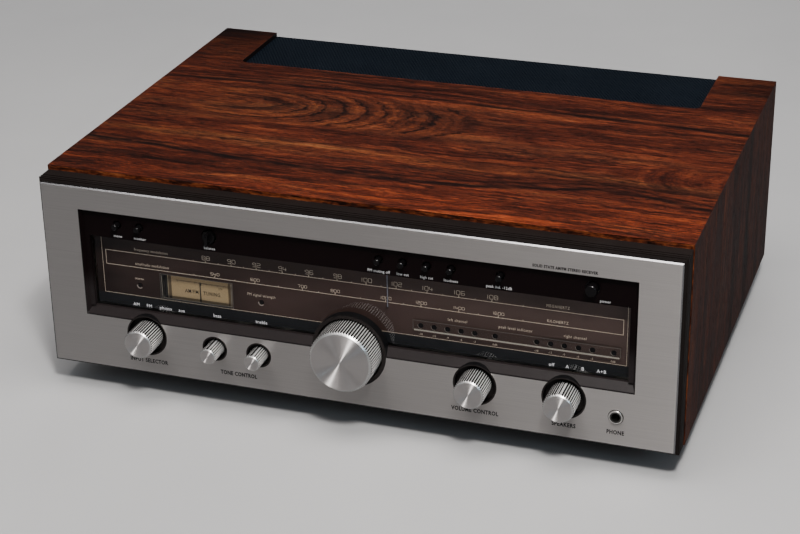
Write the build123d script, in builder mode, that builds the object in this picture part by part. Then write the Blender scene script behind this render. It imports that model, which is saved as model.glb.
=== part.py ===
from build123d import *
import math
import os

os.makedirs("parts", exist_ok=True)

# Stereo receiver in a wooden cabinet, in millimetres.  +X is to the right as seen from
# the front, +Y to the back, +Z up.  The origin is under the middle of the whole set,
# on the surface that the feet stand on.
#
# Most sizes are given as x, depth and height: depth runs back from the faceplate's front
# surface and height runs up from its bottom edge.  Names in _xz hold (x, height), names
# in _d a depth, names in _h a height, names in _r a radius and names in _t a thickness.

# ---------------------------------------------------------------------------
# Shared dimensions
# ---------------------------------------------------------------------------
front_y = -176.0          # y of the faceplate's front surface
panel_z = 23.0            # z of the faceplate's bottom edge

panel_half_w = 239.4      # faceplate
panel_h = 146.0
panel_t = 3.0
window_half_w = 209.8     # opening in the faceplate
window_low, window_high = 42.6, 128.3

wood_half_w = 242.5       # cabinet
wood_low, wood_high = -2.6, 152.0
wood_front, wood_back = 19.4, 352.7
wood_t = 12.0

# Controls on the front
big_knob_r, big_hole_r = 11.25, 16.2
small_knob_r, small_hole_r = 6.25, 9.9
tuning_knob_r, tuning_hole_r = 24.0, 28.4
selector_xz = (-161.0, 31.4)
bass_xz = (-106.0, 29.0)
treble_xz = (-71.0, 29.0)
tuning_xz = (0.0, 43.5)
volume_xz = (94.6, 31.4)
speaker_xz = (159.6, 31.4)
balance_xz = (-107.0, 118.0)
phone_xz = (197.0, 22.8)

button_h = 118.0          # row of push buttons above the dial
button_x = {
    "mono_button": -180.4,
    "monitor_button": -162.6,
    "fm_muting_button": 23.0,
    "low_cut_button": 40.8,
    "high_cut_button": 58.6,
    "loudness_button": 76.4,
    "peak_indicator_button": 112.0,
}
power_xz = (177.2, button_h)
button_r, button_hole_r = 2.3, 3.25
power_r, power_hole_r = 4.2, 5.3

shaft_r = 3.0             # all rotary control shafts
shaft_clear = 0.06        # running clearance of a shaft in its bush

# Dial
dial_low = 47.6           # bottom edge of the glass and of the dial plate
led_h = 65.2
peak_led_x = [50.1, 60.1, 70.2, 80.2, 90.3, 105.3,
              135.6, 145.6, 155.5, 165.6, 175.6, 190.7]
stereo_led_x, signal_led_x = -170.9, -72.9
led_x = peak_led_x + [stereo_led_x, signal_led_x]
led_r = 1.5
led_hole_r = led_r + 0.1
meter_x, meter_h = -124.7, 67.3      # middle of the meter's window

# Dial drive
cord_d = 27.1             # depth of the plane that the dial cord runs in
cord_r = 0.35
drum_xz = (60.0, 68.0)
idler_x, idler_h = 168.0, 98.0
spindle_wrap_r, drum_wrap_r, idler_wrap_r = 6.0, 29.75, 6.0    # to the cord's centre line
post_x, post_r = 169.5, 4.0
post_bend_r = post_r + 0.5           # cord's centre line round a post
low_left = tuning_xz[1] - spindle_wrap_r       # heights of the two lower cord runs
low_right = drum_xz[1] - drum_wrap_r
left_post_h = low_left + post_bend_r
right_post_h = low_right + post_bend_r
cord_top_h = idler_h + idler_wrap_r

# Chassis
chassis_w = 458.0
chassis_t = 1.5
subchassis_front = 36.0
subchassis_t = 1.5
subchassis_back = subchassis_front + subchassis_t
rear_d = 345.0            # inside face of the rear panel
rear_t = 1.2
outside = rear_d + rear_t


# ---------------------------------------------------------------------------
# Helpers.  Those that draw do so in the sketch of the caller.
# ---------------------------------------------------------------------------
def y_at(depth):
    return front_y + depth


def z_at(height):
    return panel_z + height


def front(depth):
    """Plane parallel to the faceplate, facing the front; local axes are x and height."""
    return Plane(origin=(0, y_at(depth), z_at(0)), x_dir=(1, 0, 0), z_dir=(0, -1, 0))


def level(height):
    """Horizontal plane, facing up; local axes are x and depth."""
    return Plane(origin=(0, y_at(0), z_at(height)), x_dir=(1, 0, 0), z_dir=(0, 0, 1))


def side(x):
    """Plane across the set, facing right; local axes are depth and height."""
    return Plane(origin=(x, y_at(0), z_at(0)), x_dir=(0, 1, 0), z_dir=(1, 0, 0))


def shaft_axis(centre):
    """Front-to-back axis through an (x, height) point."""
    return Axis((centre[0], y_at(0), z_at(centre[1])), (0, 1, 0))


def disc(centre, radius, mode=Mode.ADD):
    with Locations(centre):
        Circle(radius, mode=mode)


def band(width, low, high, x=0, mode=Mode.ADD):
    """Rectangle centred on x that reaches from low to high on the second axis."""
    with Locations((x, (low + high) / 2)):
        Rectangle(width, high - low, mode=mode)


def block(centre, width, height, mode=Mode.ADD):
    with Locations(centre):
        Rectangle(width, height, mode=mode)


def window_opening():
    band(2 * window_half_w, window_low, window_high)


def knob_openings():
    for centre, hole_r in knob_holes:
        disc(centre, hole_r)


def turning(centre, profile):
    """(depth, radius) stations as points above a shaft's axis, for a side plane."""
    return [(depth, centre[1] + radius) for depth, radius in profile]


def cap_on_stem(tip, radius, bevel, cap_back, stem_r, stem_end):
    """(depth, radius) stations of a knob or button made in one with its shaft."""
    return [(tip, 0), (tip, radius - bevel), (tip + bevel, radius), (cap_back, radius),
            (cap_back, stem_r), (stem_end, stem_r), (stem_end, 0)]


def save(builder, name):
    part = builder.part
    part.label = name
    export_step(part, f"parts/{name}.step")


def turned_part(name, bodies):
    """Write one part made of turned bodies, each given as (centre, profile)."""
    with BuildPart() as turned:
        for centre, profile in bodies:
            with BuildSketch(side(centre[0])):
                with BuildLine():
                    Polyline(*turning(centre, profile), close=True)
                make_face()
            revolve(axis=shaft_axis(centre))
    save(turned, name)


# ---------------------------------------------------------------------------
# Front panel
# ---------------------------------------------------------------------------
knob_holes = [(selector_xz, big_hole_r), (volume_xz, big_hole_r), (speaker_xz, big_hole_r),
              (bass_xz, small_hole_r), (treble_xz, small_hole_r), (tuning_xz, tuning_hole_r)]

# Faceplate with the dial window and the control holes.
with BuildPart() as faceplate:
    with BuildSketch(front(panel_t)):
        band(2 * panel_half_w, 0, panel_h)
    extrude(amount=panel_t)
    chamfer(faceplate.faces().sort_by(Axis.Y)[0].edges(), length=0.9)
    with BuildSketch(front(panel_t)):
        window_opening()
        knob_openings()
        disc(phone_xz, 4.7)
    extrude(amount=panel_t, mode=Mode.SUBTRACT)
save(faceplate, "faceplate")

# Moulding behind and around the faceplate, with two ribs round its edge.
bezel_half_w = 241.8
bezel_low, bezel_high = -2.4, 148.4
bezel_depth = 19.4
bezel_wall = 2.6
bezel_web_back = 6.0      # back of the web that closes the front
bezel_grooves = [         # front depth, back depth, how far the groove cuts in
    (3.0, 4.2, 1.0),
    (5.4, 6.6, 0.6),
    (8.6, 9.8, 0.6),
]


def bezel_outline(inset, mode=Mode.ADD):
    band(2 * (bezel_half_w - inset), bezel_low + inset, bezel_high - inset, mode=mode)


with BuildPart() as bezel_frame:
    with BuildSketch(front(bezel_depth)):
        bezel_outline(0)
    extrude(amount=bezel_depth - panel_t)
    with BuildSketch(front(bezel_depth)):
        bezel_outline(bezel_wall)
    extrude(amount=bezel_depth - bezel_web_back, mode=Mode.SUBTRACT)
    with BuildSketch(front(bezel_web_back)):
        window_opening()
        knob_openings()
        disc(phone_xz, 5.6)
    extrude(amount=bezel_web_back - panel_t, mode=Mode.SUBTRACT)
    # The first groove steps the front rim in; the other two leave the ribs.
    for groove_front, groove_back, cut in bezel_grooves:
        with BuildSketch(front(groove_back)):
            bezel_outline(-2.0)
            bezel_outline(cut, mode=Mode.SUBTRACT)
        extrude(amount=groove_back - groove_front, mode=Mode.SUBTRACT)
save(bezel_frame, "bezel_frame")

# Surround of the dial: button strip on top, slanted cheeks and a sloping ledge.
glass_half_w = 204.0      # visible dial opening
glass_low, glass_high = 49.0, 106.7
lip = 0.1                 # gap to the edge of the faceplate's window
surround_half_w = window_half_w - lip
surround_low, surround_high = window_low + lip, window_high - lip
surround_back = 7.4
strip_front = 3.6
ledge_front = 0.9         # also the front of the cheeks
cheek_low = 43.0

with BuildPart() as window_surround:
    with BuildSketch(front(surround_back)):
        band(2 * surround_half_w, glass_low, surround_high)
    extrude(amount=surround_back - strip_front)
    # Flange behind the faceplate.
    with BuildSketch(front(surround_back)):
        band(2 * (window_half_w + 3.0), window_low - 2.3, window_high + 2.7)
    extrude(amount=1.4)
    with BuildSketch(front(surround_back)):
        band(2 * glass_half_w, glass_low, glass_high)
    extrude(amount=surround_back, mode=Mode.SUBTRACT)
    # Sloping ledge along the bottom.
    with BuildSketch(side(-surround_half_w)):
        with BuildLine():
            Polyline((surround_back, surround_low), (ledge_front, surround_low),
                     (ledge_front, 43.3), (5.6, glass_low - 0.4), (5.6, glass_low),
                     (surround_back, glass_low), close=True)
        make_face()
    extrude(amount=2 * surround_half_w)
    # Slanted cheeks at both ends.
    for sign in (-1, 1):
        outer_x = sign * surround_half_w
        inner_x = sign * (window_half_w - 2.4)
        with BuildSketch(level(cheek_low)):
            with BuildLine():
                Polyline((outer_x, 4.6), (outer_x, ledge_front),
                         (sign * (window_half_w - 0.6), ledge_front), (inner_x, 4.4),
                         (inner_x, 4.6), close=True)
            make_face()
        extrude(amount=surround_high - cheek_low)
    with BuildSketch(front(surround_back)):
        knob_openings()
        for x in button_x.values():
            disc((x, button_h), button_hole_r)
        disc(power_xz, power_hole_r)
        disc(balance_xz, 5.8)
    extrude(amount=8.0, mode=Mode.SUBTRACT)
save(window_surround, "window_surround")

# Cups that line the knob holes, as separate mouldings.
well_back = 7.3
well_front = 0.2
well_floor_t = 1.0
well_gap = 0.15           # between a cup and its hole
well_bore_r = 4.2         # for the shaft; the subchassis has the same holes
with BuildPart() as knob_wells:
    for centre, hole_r in knob_holes:
        well_wall = 2.6 if hole_r == tuning_hole_r else 1.0
        with BuildSketch(front(well_back)):
            disc(centre, hole_r - well_gap)
        extrude(amount=well_back - well_front)
        with BuildSketch(front(well_back - well_floor_t)):
            disc(centre, hole_r - well_gap - well_wall)
        extrude(amount=well_back, mode=Mode.SUBTRACT)
        with BuildSketch(front(well_back)):
            disc(centre, well_bore_r)
        extrude(amount=well_back, mode=Mode.SUBTRACT)
save(knob_wells, "knob_wells")

# Clear window over the dial.
with BuildPart() as dial_glass:
    with BuildSketch(front(9.4)):
        band(416.0, dial_low, 110.0)
    extrude(amount=2.0)
    chamfer(dial_glass.edges().filter_by(Axis.Y), length=1.5)
save(dial_glass, "dial_glass")

# Dial plate, open for the meter and the indicator lamps.
plate_back, plate_t = 15.5, 1.5
plate_front = plate_back - plate_t
with BuildPart() as dial_plate:
    with BuildSketch(front(plate_back)):
        band(412.0, dial_low, 108.5)
        block((meter_x, meter_h), 57.8, 19.8, mode=Mode.SUBTRACT)
        for x in led_x:
            disc((x, led_h), led_hole_r, mode=Mode.SUBTRACT)
    extrude(amount=plate_t)
save(dial_plate, "dial_plate")

# Raised bar over the peak level lamps, on the front of the dial plate.
strip_left, strip_right = 44.6, 196.9
strip_low, strip_high = 62.2, 70.6
strip_t = 2.6
with BuildPart() as peak_strip:
    with BuildSketch(front(plate_front)):
        with Locations(((strip_left + strip_right) / 2, (strip_low + strip_high) / 2)):
            RectangleRounded(strip_right - strip_left, strip_high - strip_low, 1.2)
    extrude(amount=strip_t)
    chamfer(peak_strip.faces().sort_by(Axis.Y)[0].edges(), length=0.6)
    with BuildSketch(front(plate_front)):
        for x in peak_led_x:
            disc((x, led_h), led_hole_r)
    extrude(amount=strip_t, mode=Mode.SUBTRACT)
save(peak_strip, "peak_strip")


def led_profile(nose):
    """(depth, radius) stations of a round-nosed lamp whose tip is at depth nose."""
    return [(17.0, 0), (17.0, led_r), (nose + 0.7, led_r), (nose + 0.2, led_r * 0.8),
            (nose, led_r * 0.4), (nose, 0)]


# Indicator lamps, each a separate body; those in the peak strip stand further forward.
turned_part("indicator_leds",
            [((x, led_h), led_profile(11.9 if x in peak_led_x else 13.4)) for x in led_x])

# Tubular lamps with end caps, behind the lower edge of the dial plate.
lamp_x = [-183.0, -60.0, 22.0, 112.0, 160.0]
lamp_centre = (19.6, 52.5)           # depth, height
lamp_half_l = 9.0
lamp_cap_l = 2.4
with BuildPart() as dial_lamps:
    for x in lamp_x:
        with BuildSketch(side(x - lamp_half_l)):
            disc(lamp_centre, 2.6)
        extrude(amount=2 * lamp_half_l)
        for cap_offset in (-lamp_half_l - lamp_cap_l, lamp_half_l):
            with BuildSketch(side(x + cap_offset)):
                disc(lamp_centre, 3.0)
            extrude(amount=lamp_cap_l)
save(dial_lamps, "dial_lamps")

# ---------------------------------------------------------------------------
# Tuning meter
# ---------------------------------------------------------------------------
needle_x, needle_h = -123.4, 48.5    # pivot of the needle
needle_xz = (needle_x, needle_h)
needle_top_h = 72.6
case_front, case_back = 15.6, 32.0
case_low, case_high = 43.6, 78.4
case_wall = 1.6
cavity_front, cavity_back = 16.4, case_back - case_wall
scale_front, scale_back = 18.8, 19.6

# Housing: a thick-walled window in front, and a deeper case behind the dial plate.
with BuildPart() as meter_housing:
    with BuildSketch(front(case_front)):
        block((meter_x, meter_h), 57.4, 19.4)
    extrude(amount=5.1)
    chamfer(meter_housing.faces().sort_by(Axis.Y)[0].edges(), length=0.7)
    with BuildSketch(front(case_back)):
        band(61.0, case_low, case_high, x=meter_x)
    extrude(amount=case_back - case_front)
    with BuildSketch(front(cavity_front)):
        block((meter_x, meter_h), 53.4, 16.2)
    extrude(amount=cavity_front - 12.2, mode=Mode.SUBTRACT)
    with BuildSketch(front(cavity_back)):
        band(61.0 - 2 * case_wall, case_low + case_wall, case_high - case_wall, x=meter_x)
    extrude(amount=cavity_back - cavity_front, mode=Mode.SUBTRACT)
save(meter_housing, "meter_housing")

# Scale, with a block behind it and the pivot pin of the needle in front.
with BuildPart() as meter_face:
    with BuildSketch(front(scale_back)):
        band(57.0, 45.6, 76.4, x=meter_x)
    extrude(amount=scale_back - scale_front)
    with BuildSketch(front(cavity_back)):
        block((meter_x, 58.0), 24.0, 22.0)
    extrude(amount=cavity_back - scale_back)
    with BuildSketch(front(scale_front)):
        disc(needle_xz, 0.9)
    extrude(amount=2.1)
save(meter_face, "meter_face")

# Tapered needle with its hub on the pivot pin.
with BuildPart() as meter_needle:
    with BuildSketch(front(18.2)):
        disc(needle_xz, 2.0)
        with BuildLine():
            Polyline((needle_x - 0.6, needle_h), (needle_x + 0.6, needle_h),
                     (needle_x + 0.22, needle_top_h), (needle_x - 0.22, needle_top_h),
                     close=True)
        make_face()
        disc(needle_xz, 0.95, mode=Mode.SUBTRACT)
    extrude(amount=0.6)
save(meter_needle, "meter_needle")

# ---------------------------------------------------------------------------
# Dial drive.  Profiles are (depth, radius) stations about the part's own axis.
# ---------------------------------------------------------------------------
spindle_tip = -12.0
groove_front, groove_back = 25.9, 27.8      # cord groove of the spindle and the drum

# Spindle: knob end, cord groove between two flanges, bearing end.
turned_part("tuning_spindle", [(tuning_xz, [
    (spindle_tip, 0), (spindle_tip, shaft_r), (24.5, shaft_r), (24.5, 8.0),
    (groove_front, 8.0), (groove_front, 5.5), (groove_back, 5.5), (groove_back, 8.0),
    (29.5, 8.0), (29.5, shaft_r), (62.0, shaft_r), (62.0, 0),
])])

# Flywheel on the spindle: hub, thin web and heavy rim.
turned_part("tuning_flywheel", [(tuning_xz, [
    (39.0, shaft_r), (39.0, 7.0), (42.0, 7.0), (42.0, 14.0),
    (40.5, 14.0), (40.5, 21.4), (41.3, 22.2), (52.7, 22.2),
    (53.5, 21.4), (53.5, 14.0), (50.0, 14.0), (50.0, 7.0),
    (55.0, 7.0), (55.0, shaft_r),
])])

# Tuning knob: deep hollow cap with a bevelled edge, bored for the spindle.
turned_part("tuning_knob", [(tuning_xz, [
    (-19.0, 0), (-19.0, tuning_knob_r - 0.7), (-18.3, tuning_knob_r), (5.0, tuning_knob_r),
    (5.0, 21.6), (-15.0, 21.6), (-15.0, 8.0), (4.0, 8.0),
    (4.0, shaft_r), (spindle_tip, shaft_r), (spindle_tip, 0),
])])

# Cord drum with its hub and the shaft that runs into the tuning capacitor's frame.
drum_profile = [
    (23.8, 0), (23.8, 6.0), (25.6, 6.0), (25.6, 27.0), (24.6, 27.0), (24.6, 31.4),
    (groove_front, 31.4), (groove_front, 29.2), (groove_back, 29.2), (groove_back, 31.4),
    (29.4, 31.4), (29.4, 27.0), (28.4, 27.0), (28.4, 6.0), (33.0, 6.0), (33.0, shaft_r),
    (43.0, shaft_r), (43.0, 0),
]
with BuildPart() as dial_drum:
    with BuildSketch(side(drum_xz[0])):
        with BuildLine():
            Polyline(*turning(drum_xz, drum_profile), close=True)
        make_face()
    revolve(axis=shaft_axis(drum_xz))
    # Round holes in the web.
    with BuildSketch(front(29.0)):
        with Locations(drum_xz):
            with PolarLocations(17.0, 5):
                Circle(4.5)
    extrude(amount=5.0, mode=Mode.SUBTRACT)
save(dial_drum, "dial_drum")

# Guide wheels for the cord, with a heavy rim behind the groove.
idler_profile = [
    (25.0, 2.05), (25.0, 10.5), (26.2, 10.5), (26.4, 5.5),
    (27.6, 5.5), (27.8, 10.5), (32.6, 10.5), (32.6, 2.05),
]
for wheel_name, wheel_x in (("left_idler_pulley", -idler_x), ("right_idler_pulley", idler_x)):
    turned_part(wheel_name, [((wheel_x, idler_h), idler_profile)])

# Dial cord: one closed run over the guide wheels and posts, and the turns that are
# wrapped on the spindle and on the drum, which lie beside the run in their grooves.
wrap_d = 26.3
cord_run_x = post_x + post_bend_r    # upright runs; also a guide wheel's outer side
drum_x = drum_xz[0]
with BuildPart() as dial_cord:
    # Level runs: start x, end x, height.
    for start_x, end_x, height in ((-post_x, 0.0, low_left), (drum_x, post_x, low_right),
                                   (-idler_x, idler_x, cord_top_h)):
        with BuildSketch(side(start_x)):
            disc((cord_d, height), cord_r)
        extrude(amount=end_x - start_x)
    # Slanting run from under the spindle to under the drum.
    with BuildSketch(Plane(origin=(0, y_at(cord_d), z_at(low_left)), x_dir=(0, 1, 0),
                           z_dir=(drum_x, 0, low_right - low_left))):
        Circle(cord_r)
    extrude(amount=math.hypot(drum_x, low_right - low_left))
    # Upright runs at both ends.
    for x, height in ((-cord_run_x, left_post_h), (cord_run_x, right_post_h)):
        with BuildSketch(level(height)):
            disc((x, cord_d), cord_r)
        extrude(amount=idler_h - height)
    # Quarter turns over the guide wheels, then under the posts.
    for sign in (-1, 1):
        with BuildSketch(level(idler_h)):
            disc((sign * (idler_x + idler_wrap_r), cord_d), cord_r)
        revolve(axis=Axis((sign * idler_x, y_at(cord_d), z_at(idler_h)), (0, -sign, 0)),
                revolution_arc=90)
    for sign, height in ((-1, left_post_h), (1, right_post_h)):
        with BuildSketch(level(height)):
            disc((sign * cord_run_x, cord_d), cord_r)
        revolve(axis=Axis((sign * post_x, y_at(cord_d), z_at(height)), (0, sign, 0)),
                revolution_arc=90)
    # Wrapped turns.
    for centre, wrap_r in ((tuning_xz, spindle_wrap_r), (drum_xz, drum_wrap_r)):
        with BuildSketch(side(centre[0])):
            disc((wrap_d, centre[1] + wrap_r), cord_r)
        revolve(axis=shaft_axis(centre))
save(dial_cord, "dial_cord")

# Rail for the pointer, held by two brackets that reach back to the subchassis.
rail_d, rail_h, rail_r = 22.0, 104.0, 1.5
rail_half_l = 150.0
bracket_t = 2.0
bracket_outline = [       # depth, height
    (rail_d - 3.0, rail_h - 3.0), (subchassis_front, rail_h - 9.0),
    (subchassis_front, rail_h - 4.0), (28.0, rail_h - 2.0),
    (24.6, rail_h + 2.4), (rail_d - 3.0, rail_h + 2.4),
]
with BuildPart() as pointer_rail:
    with BuildSketch(side(-rail_half_l)):
        disc((rail_d, rail_h), rail_r)
    extrude(amount=2 * rail_half_l)
    for x in (-rail_half_l - bracket_t, rail_half_l):
        with BuildSketch(side(x)):
            with BuildLine():
                Polyline(*bracket_outline, close=True)
            make_face()
        extrude(amount=bracket_t)
        # Hole that lets the cord through.
        with BuildSketch(side(x - 1.0)):
            disc((cord_d, cord_top_h), 1.4)
        extrude(amount=bracket_t + 2.0, mode=Mode.SUBTRACT)
save(pointer_rail, "pointer_rail")

# Pointer: blade in front of the dial plate, arm over the plate's top, slider on the
# rail and a tab behind the slider.
pointer_x = 26.5
pointer_front = 10.6
pointer_top = 110.6
arm_t = 1.2
slider_front, slider_back, slider_low = 19.0, 25.4, 101.0
slider_half_l, tab_half_w = 8.0, 2.0
tab_back, tab_low, tab_high = 28.4, 105.0, 106.4
with BuildPart() as dial_pointer:
    with BuildSketch(front(pointer_front + 0.8)):
        band(1.2, 78.0, pointer_top, x=pointer_x)
    extrude(amount=0.8)
    with BuildSketch(level(pointer_top - arm_t)):
        band(5.0, pointer_front, slider_back, x=pointer_x)
    extrude(amount=arm_t)
    with BuildSketch(side(pointer_x - slider_half_l)):
        with BuildLine():
            Polyline((slider_front, slider_low), (slider_back, slider_low),
                     (slider_back, pointer_top), (slider_front, pointer_top), close=True)
        make_face()
        disc((rail_d, rail_h), rail_r + shaft_clear, mode=Mode.SUBTRACT)
    extrude(amount=2 * slider_half_l)
    with BuildSketch(side(pointer_x - tab_half_w)):
        with BuildLine():
            Polyline((slider_back, tab_low), (tab_back, tab_low),
                     (tab_back, tab_high), (slider_back, tab_high), close=True)
        make_face()
    extrude(amount=2 * tab_half_w)
save(dial_pointer, "dial_pointer")

# Tuning capacitor: U-shaped frame with the fixed plates and two rods through them.
cap_front, cap_back = 41.0, 80.0
cap_low, cap_high = 44.0, 92.0
cap_w = 44.0
cap_wall = 2.0
vane_t = 0.6
vane_pitch = 2.6
fixed_vane_d = [49.0 + vane_pitch * i for i in range(9)]
with BuildPart() as tuning_capacitor_frame:
    with BuildSketch(side(drum_x - cap_w / 2)):
        with BuildLine():
            Polyline((cap_front, cap_low), (cap_back, cap_low), (cap_back, cap_high),
                     (cap_back - cap_wall, cap_high), (cap_back - cap_wall, cap_low + cap_wall),
                     (cap_front + cap_wall, cap_low + cap_wall),
                     (cap_front + cap_wall, cap_high), (cap_front, cap_high), close=True)
        make_face()
    extrude(amount=cap_w)
    with BuildSketch(front(cap_back)):
        disc(drum_xz, shaft_r + shaft_clear)
    extrude(amount=cap_back - cap_front, mode=Mode.SUBTRACT)
    for depth in fixed_vane_d:
        with BuildSketch(front(depth)):
            block((drum_x, drum_xz[1] + 10.5), 42.0, 19.0)
            disc(drum_xz, 5.0, mode=Mode.SUBTRACT)
        extrude(amount=vane_t)
    for sign in (-1, 1):
        with BuildSketch(front(cap_back - cap_wall)):
            disc((drum_x + sign * 20.0, drum_xz[1] + 18.0), 1.4)
        extrude(amount=cap_back - cap_front - 2 * cap_wall)
save(tuning_capacitor_frame, "tuning_capacitor_frame")

# Moving plates, half discs on their shaft, midway between the fixed ones.
rotor_front, rotor_back = 43.2, 81.0
with BuildPart() as tuning_capacitor_rotor:
    with BuildSketch(front(rotor_back)):
        disc(drum_xz, shaft_r)
    extrude(amount=rotor_back - rotor_front)
    for depth in fixed_vane_d[:-1]:
        with BuildSketch(front(depth + vane_pitch / 2)):
            with Locations(drum_xz):
                Circle(17.0)
                with Locations((0, 10.0)):
                    Rectangle(40.0, 20.0, mode=Mode.SUBTRACT)
                Circle(4.6)
        extrude(amount=vane_t)
save(tuning_capacitor_rotor, "tuning_capacitor_rotor")

# ---------------------------------------------------------------------------
# Knobs and buttons, each with its shaft
# ---------------------------------------------------------------------------
shaft_end_d = 50.0
for knob_name, centre, radius, tip in (
    ("input_selector_knob", selector_xz, big_knob_r, -16.5),
    ("volume_knob", volume_xz, big_knob_r, -16.5),
    ("speaker_knob", speaker_xz, big_knob_r, -16.5),
    ("bass_knob", bass_xz, small_knob_r, -14.0),
    ("treble_knob", treble_xz, small_knob_r, -14.0),
):
    turned_part(knob_name, [(centre, cap_on_stem(
        tip=tip, radius=radius, bevel=0.6, cap_back=4.6, stem_r=shaft_r,
        stem_end=shaft_end_d))])

# Balance control: small disc with an upright bar grip across it.
balance_shaft_r = 2.0
with BuildPart() as balance_knob:
    with BuildSketch(front(6.0)):
        disc(balance_xz, 4.8)
    extrude(amount=4.0)
    with BuildSketch(front(2.0)):
        with Locations(balance_xz):
            SlotOverall(9.0, 2.6, rotation=90)
    extrude(amount=4.6)
    with BuildSketch(front(30.0)):
        disc(balance_xz, balance_shaft_r)
    extrude(amount=24.0)
save(balance_knob, "balance_knob")

# Push buttons with their plungers.
plunger_r, power_plunger_r = 1.5, 2.0
for button_name, x in button_x.items():
    turned_part(button_name, [((x, button_h), cap_on_stem(
        tip=-2.4, radius=button_r, bevel=0.4, cap_back=6.0, stem_r=plunger_r,
        stem_end=22.0))])
turned_part("power_button", [(power_xz, cap_on_stem(
    tip=-3.0, radius=power_r, bevel=0.5, cap_back=6.0, stem_r=power_plunger_r,
    stem_end=26.0))])

# Switch bodies behind the buttons, each a separate body.
switch_front = 13.0       # also the front of the balance control's body
# x, width, height, back depth, bore radius, depth of the bore's end
switch_sizes = [(x, 8.6, 11.4, 36.0, plunger_r + 0.1, 28.0) for x in button_x.values()]
switch_sizes.append((power_xz[0], 15.0, 13.6, 48.0, power_plunger_r + 0.1, 34.0))
with BuildPart() as push_switches:
    for x, width, height, back, bore_r, bore_end in switch_sizes:
        with BuildSketch(front(back)):
            block((x, button_h), width, height)
        extrude(amount=back - switch_front)
        with BuildSketch(front(bore_end)):
            disc((x, button_h), bore_r)
        extrude(amount=bore_end - switch_front, mode=Mode.SUBTRACT)
save(push_switches, "push_switches")

# Bodies of the rotary controls, on the back of the subchassis, and of the balance
# control, behind the button strip.
pot_sizes = [             # centre, radius, length
    (selector_xz, 14.0, 34.0),
    (speaker_xz, 14.0, 26.0),
    (volume_xz, 12.0, 22.0),
    (bass_xz, 10.0, 16.0),
    (treble_xz, 10.0, 16.0),
]
with BuildPart() as control_pots:
    for centre, body_r, length in pot_sizes:
        with BuildSketch(front(subchassis_back + length)):
            disc(centre, body_r)
        extrude(amount=length)
        with BuildSketch(front(shaft_end_d + 1.0)):
            disc(centre, shaft_r + shaft_clear)
        extrude(amount=20.0, mode=Mode.SUBTRACT)
    with BuildSketch(front(33.0)):
        disc(balance_xz, 6.6)
    extrude(amount=33.0 - switch_front)
    with BuildSketch(front(31.0)):
        disc(balance_xz, balance_shaft_r + shaft_clear)
    extrude(amount=31.0 - switch_front, mode=Mode.SUBTRACT)
save(control_pots, "control_pots")

# Headphone socket: ring and barrel in front of a square body.
jack_body_front, jack_body_back = 10.0, 38.0
jack_ring_t = 0.9
with BuildPart() as phone_jack:
    with BuildSketch(front(jack_body_front)):
        disc(phone_xz, 4.5)
    extrude(amount=jack_body_front + jack_ring_t)
    with BuildSketch(front(0.0)):
        disc(phone_xz, 5.2)
    extrude(amount=jack_ring_t)
    chamfer(phone_jack.faces().sort_by(Axis.Y)[0].edges(), length=0.35)
    with BuildSketch(front(jack_body_back)):
        block(phone_xz, 13.0, 15.0)
    extrude(amount=jack_body_back - jack_body_front)
    with BuildSketch(front(34.0)):
        disc(phone_xz, 3.25)
    extrude(amount=40.0, mode=Mode.SUBTRACT)
save(phone_jack, "phone_jack")

# ---------------------------------------------------------------------------
# Cabinet
# ---------------------------------------------------------------------------
notch_half_w = 195.2      # cut-out in the top over the heat sink
notch_front = 272.5
notch_r = 5.5
wood_length = wood_back - wood_front
inner_half_w = wood_half_w - wood_t
inner_high = wood_high - wood_t      # underside of the top board


def notch_outline(gap):
    """Rounded notch, smaller by gap in front and at the sides, open past the back edge."""
    near, far = notch_front + gap, wood_back + 20.0
    with Locations((0, (near + far) / 2)):
        RectangleRounded(2 * (notch_half_w - gap), far - near, notch_r - gap)


# Top board, mitred to the sides, cut away at the back for the grille.
with BuildPart() as cabinet_top:
    with BuildSketch(front(wood_back)):
        with BuildLine():
            Polyline((-wood_half_w, wood_high), (wood_half_w, wood_high),
                     (inner_half_w, inner_high), (-inner_half_w, inner_high), close=True)
        make_face()
    extrude(amount=wood_length)
    with BuildSketch(level(inner_high - 1.0)):
        notch_outline(0)
    extrude(amount=wood_t + 2.0, mode=Mode.SUBTRACT)
save(cabinet_top, "cabinet_top")

for board_name, sign in (("cabinet_left_side", -1), ("cabinet_right_side", 1)):
    with BuildPart() as cabinet_side:
        with BuildSketch(front(wood_back)):
            with BuildLine():
                Polyline((sign * wood_half_w, wood_low), (sign * wood_half_w, wood_high),
                         (sign * inner_half_w, inner_high), (sign * inner_half_w, wood_low),
                         close=True)
            make_face()
        extrude(amount=wood_length)
    save(cabinet_side, board_name)

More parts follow.
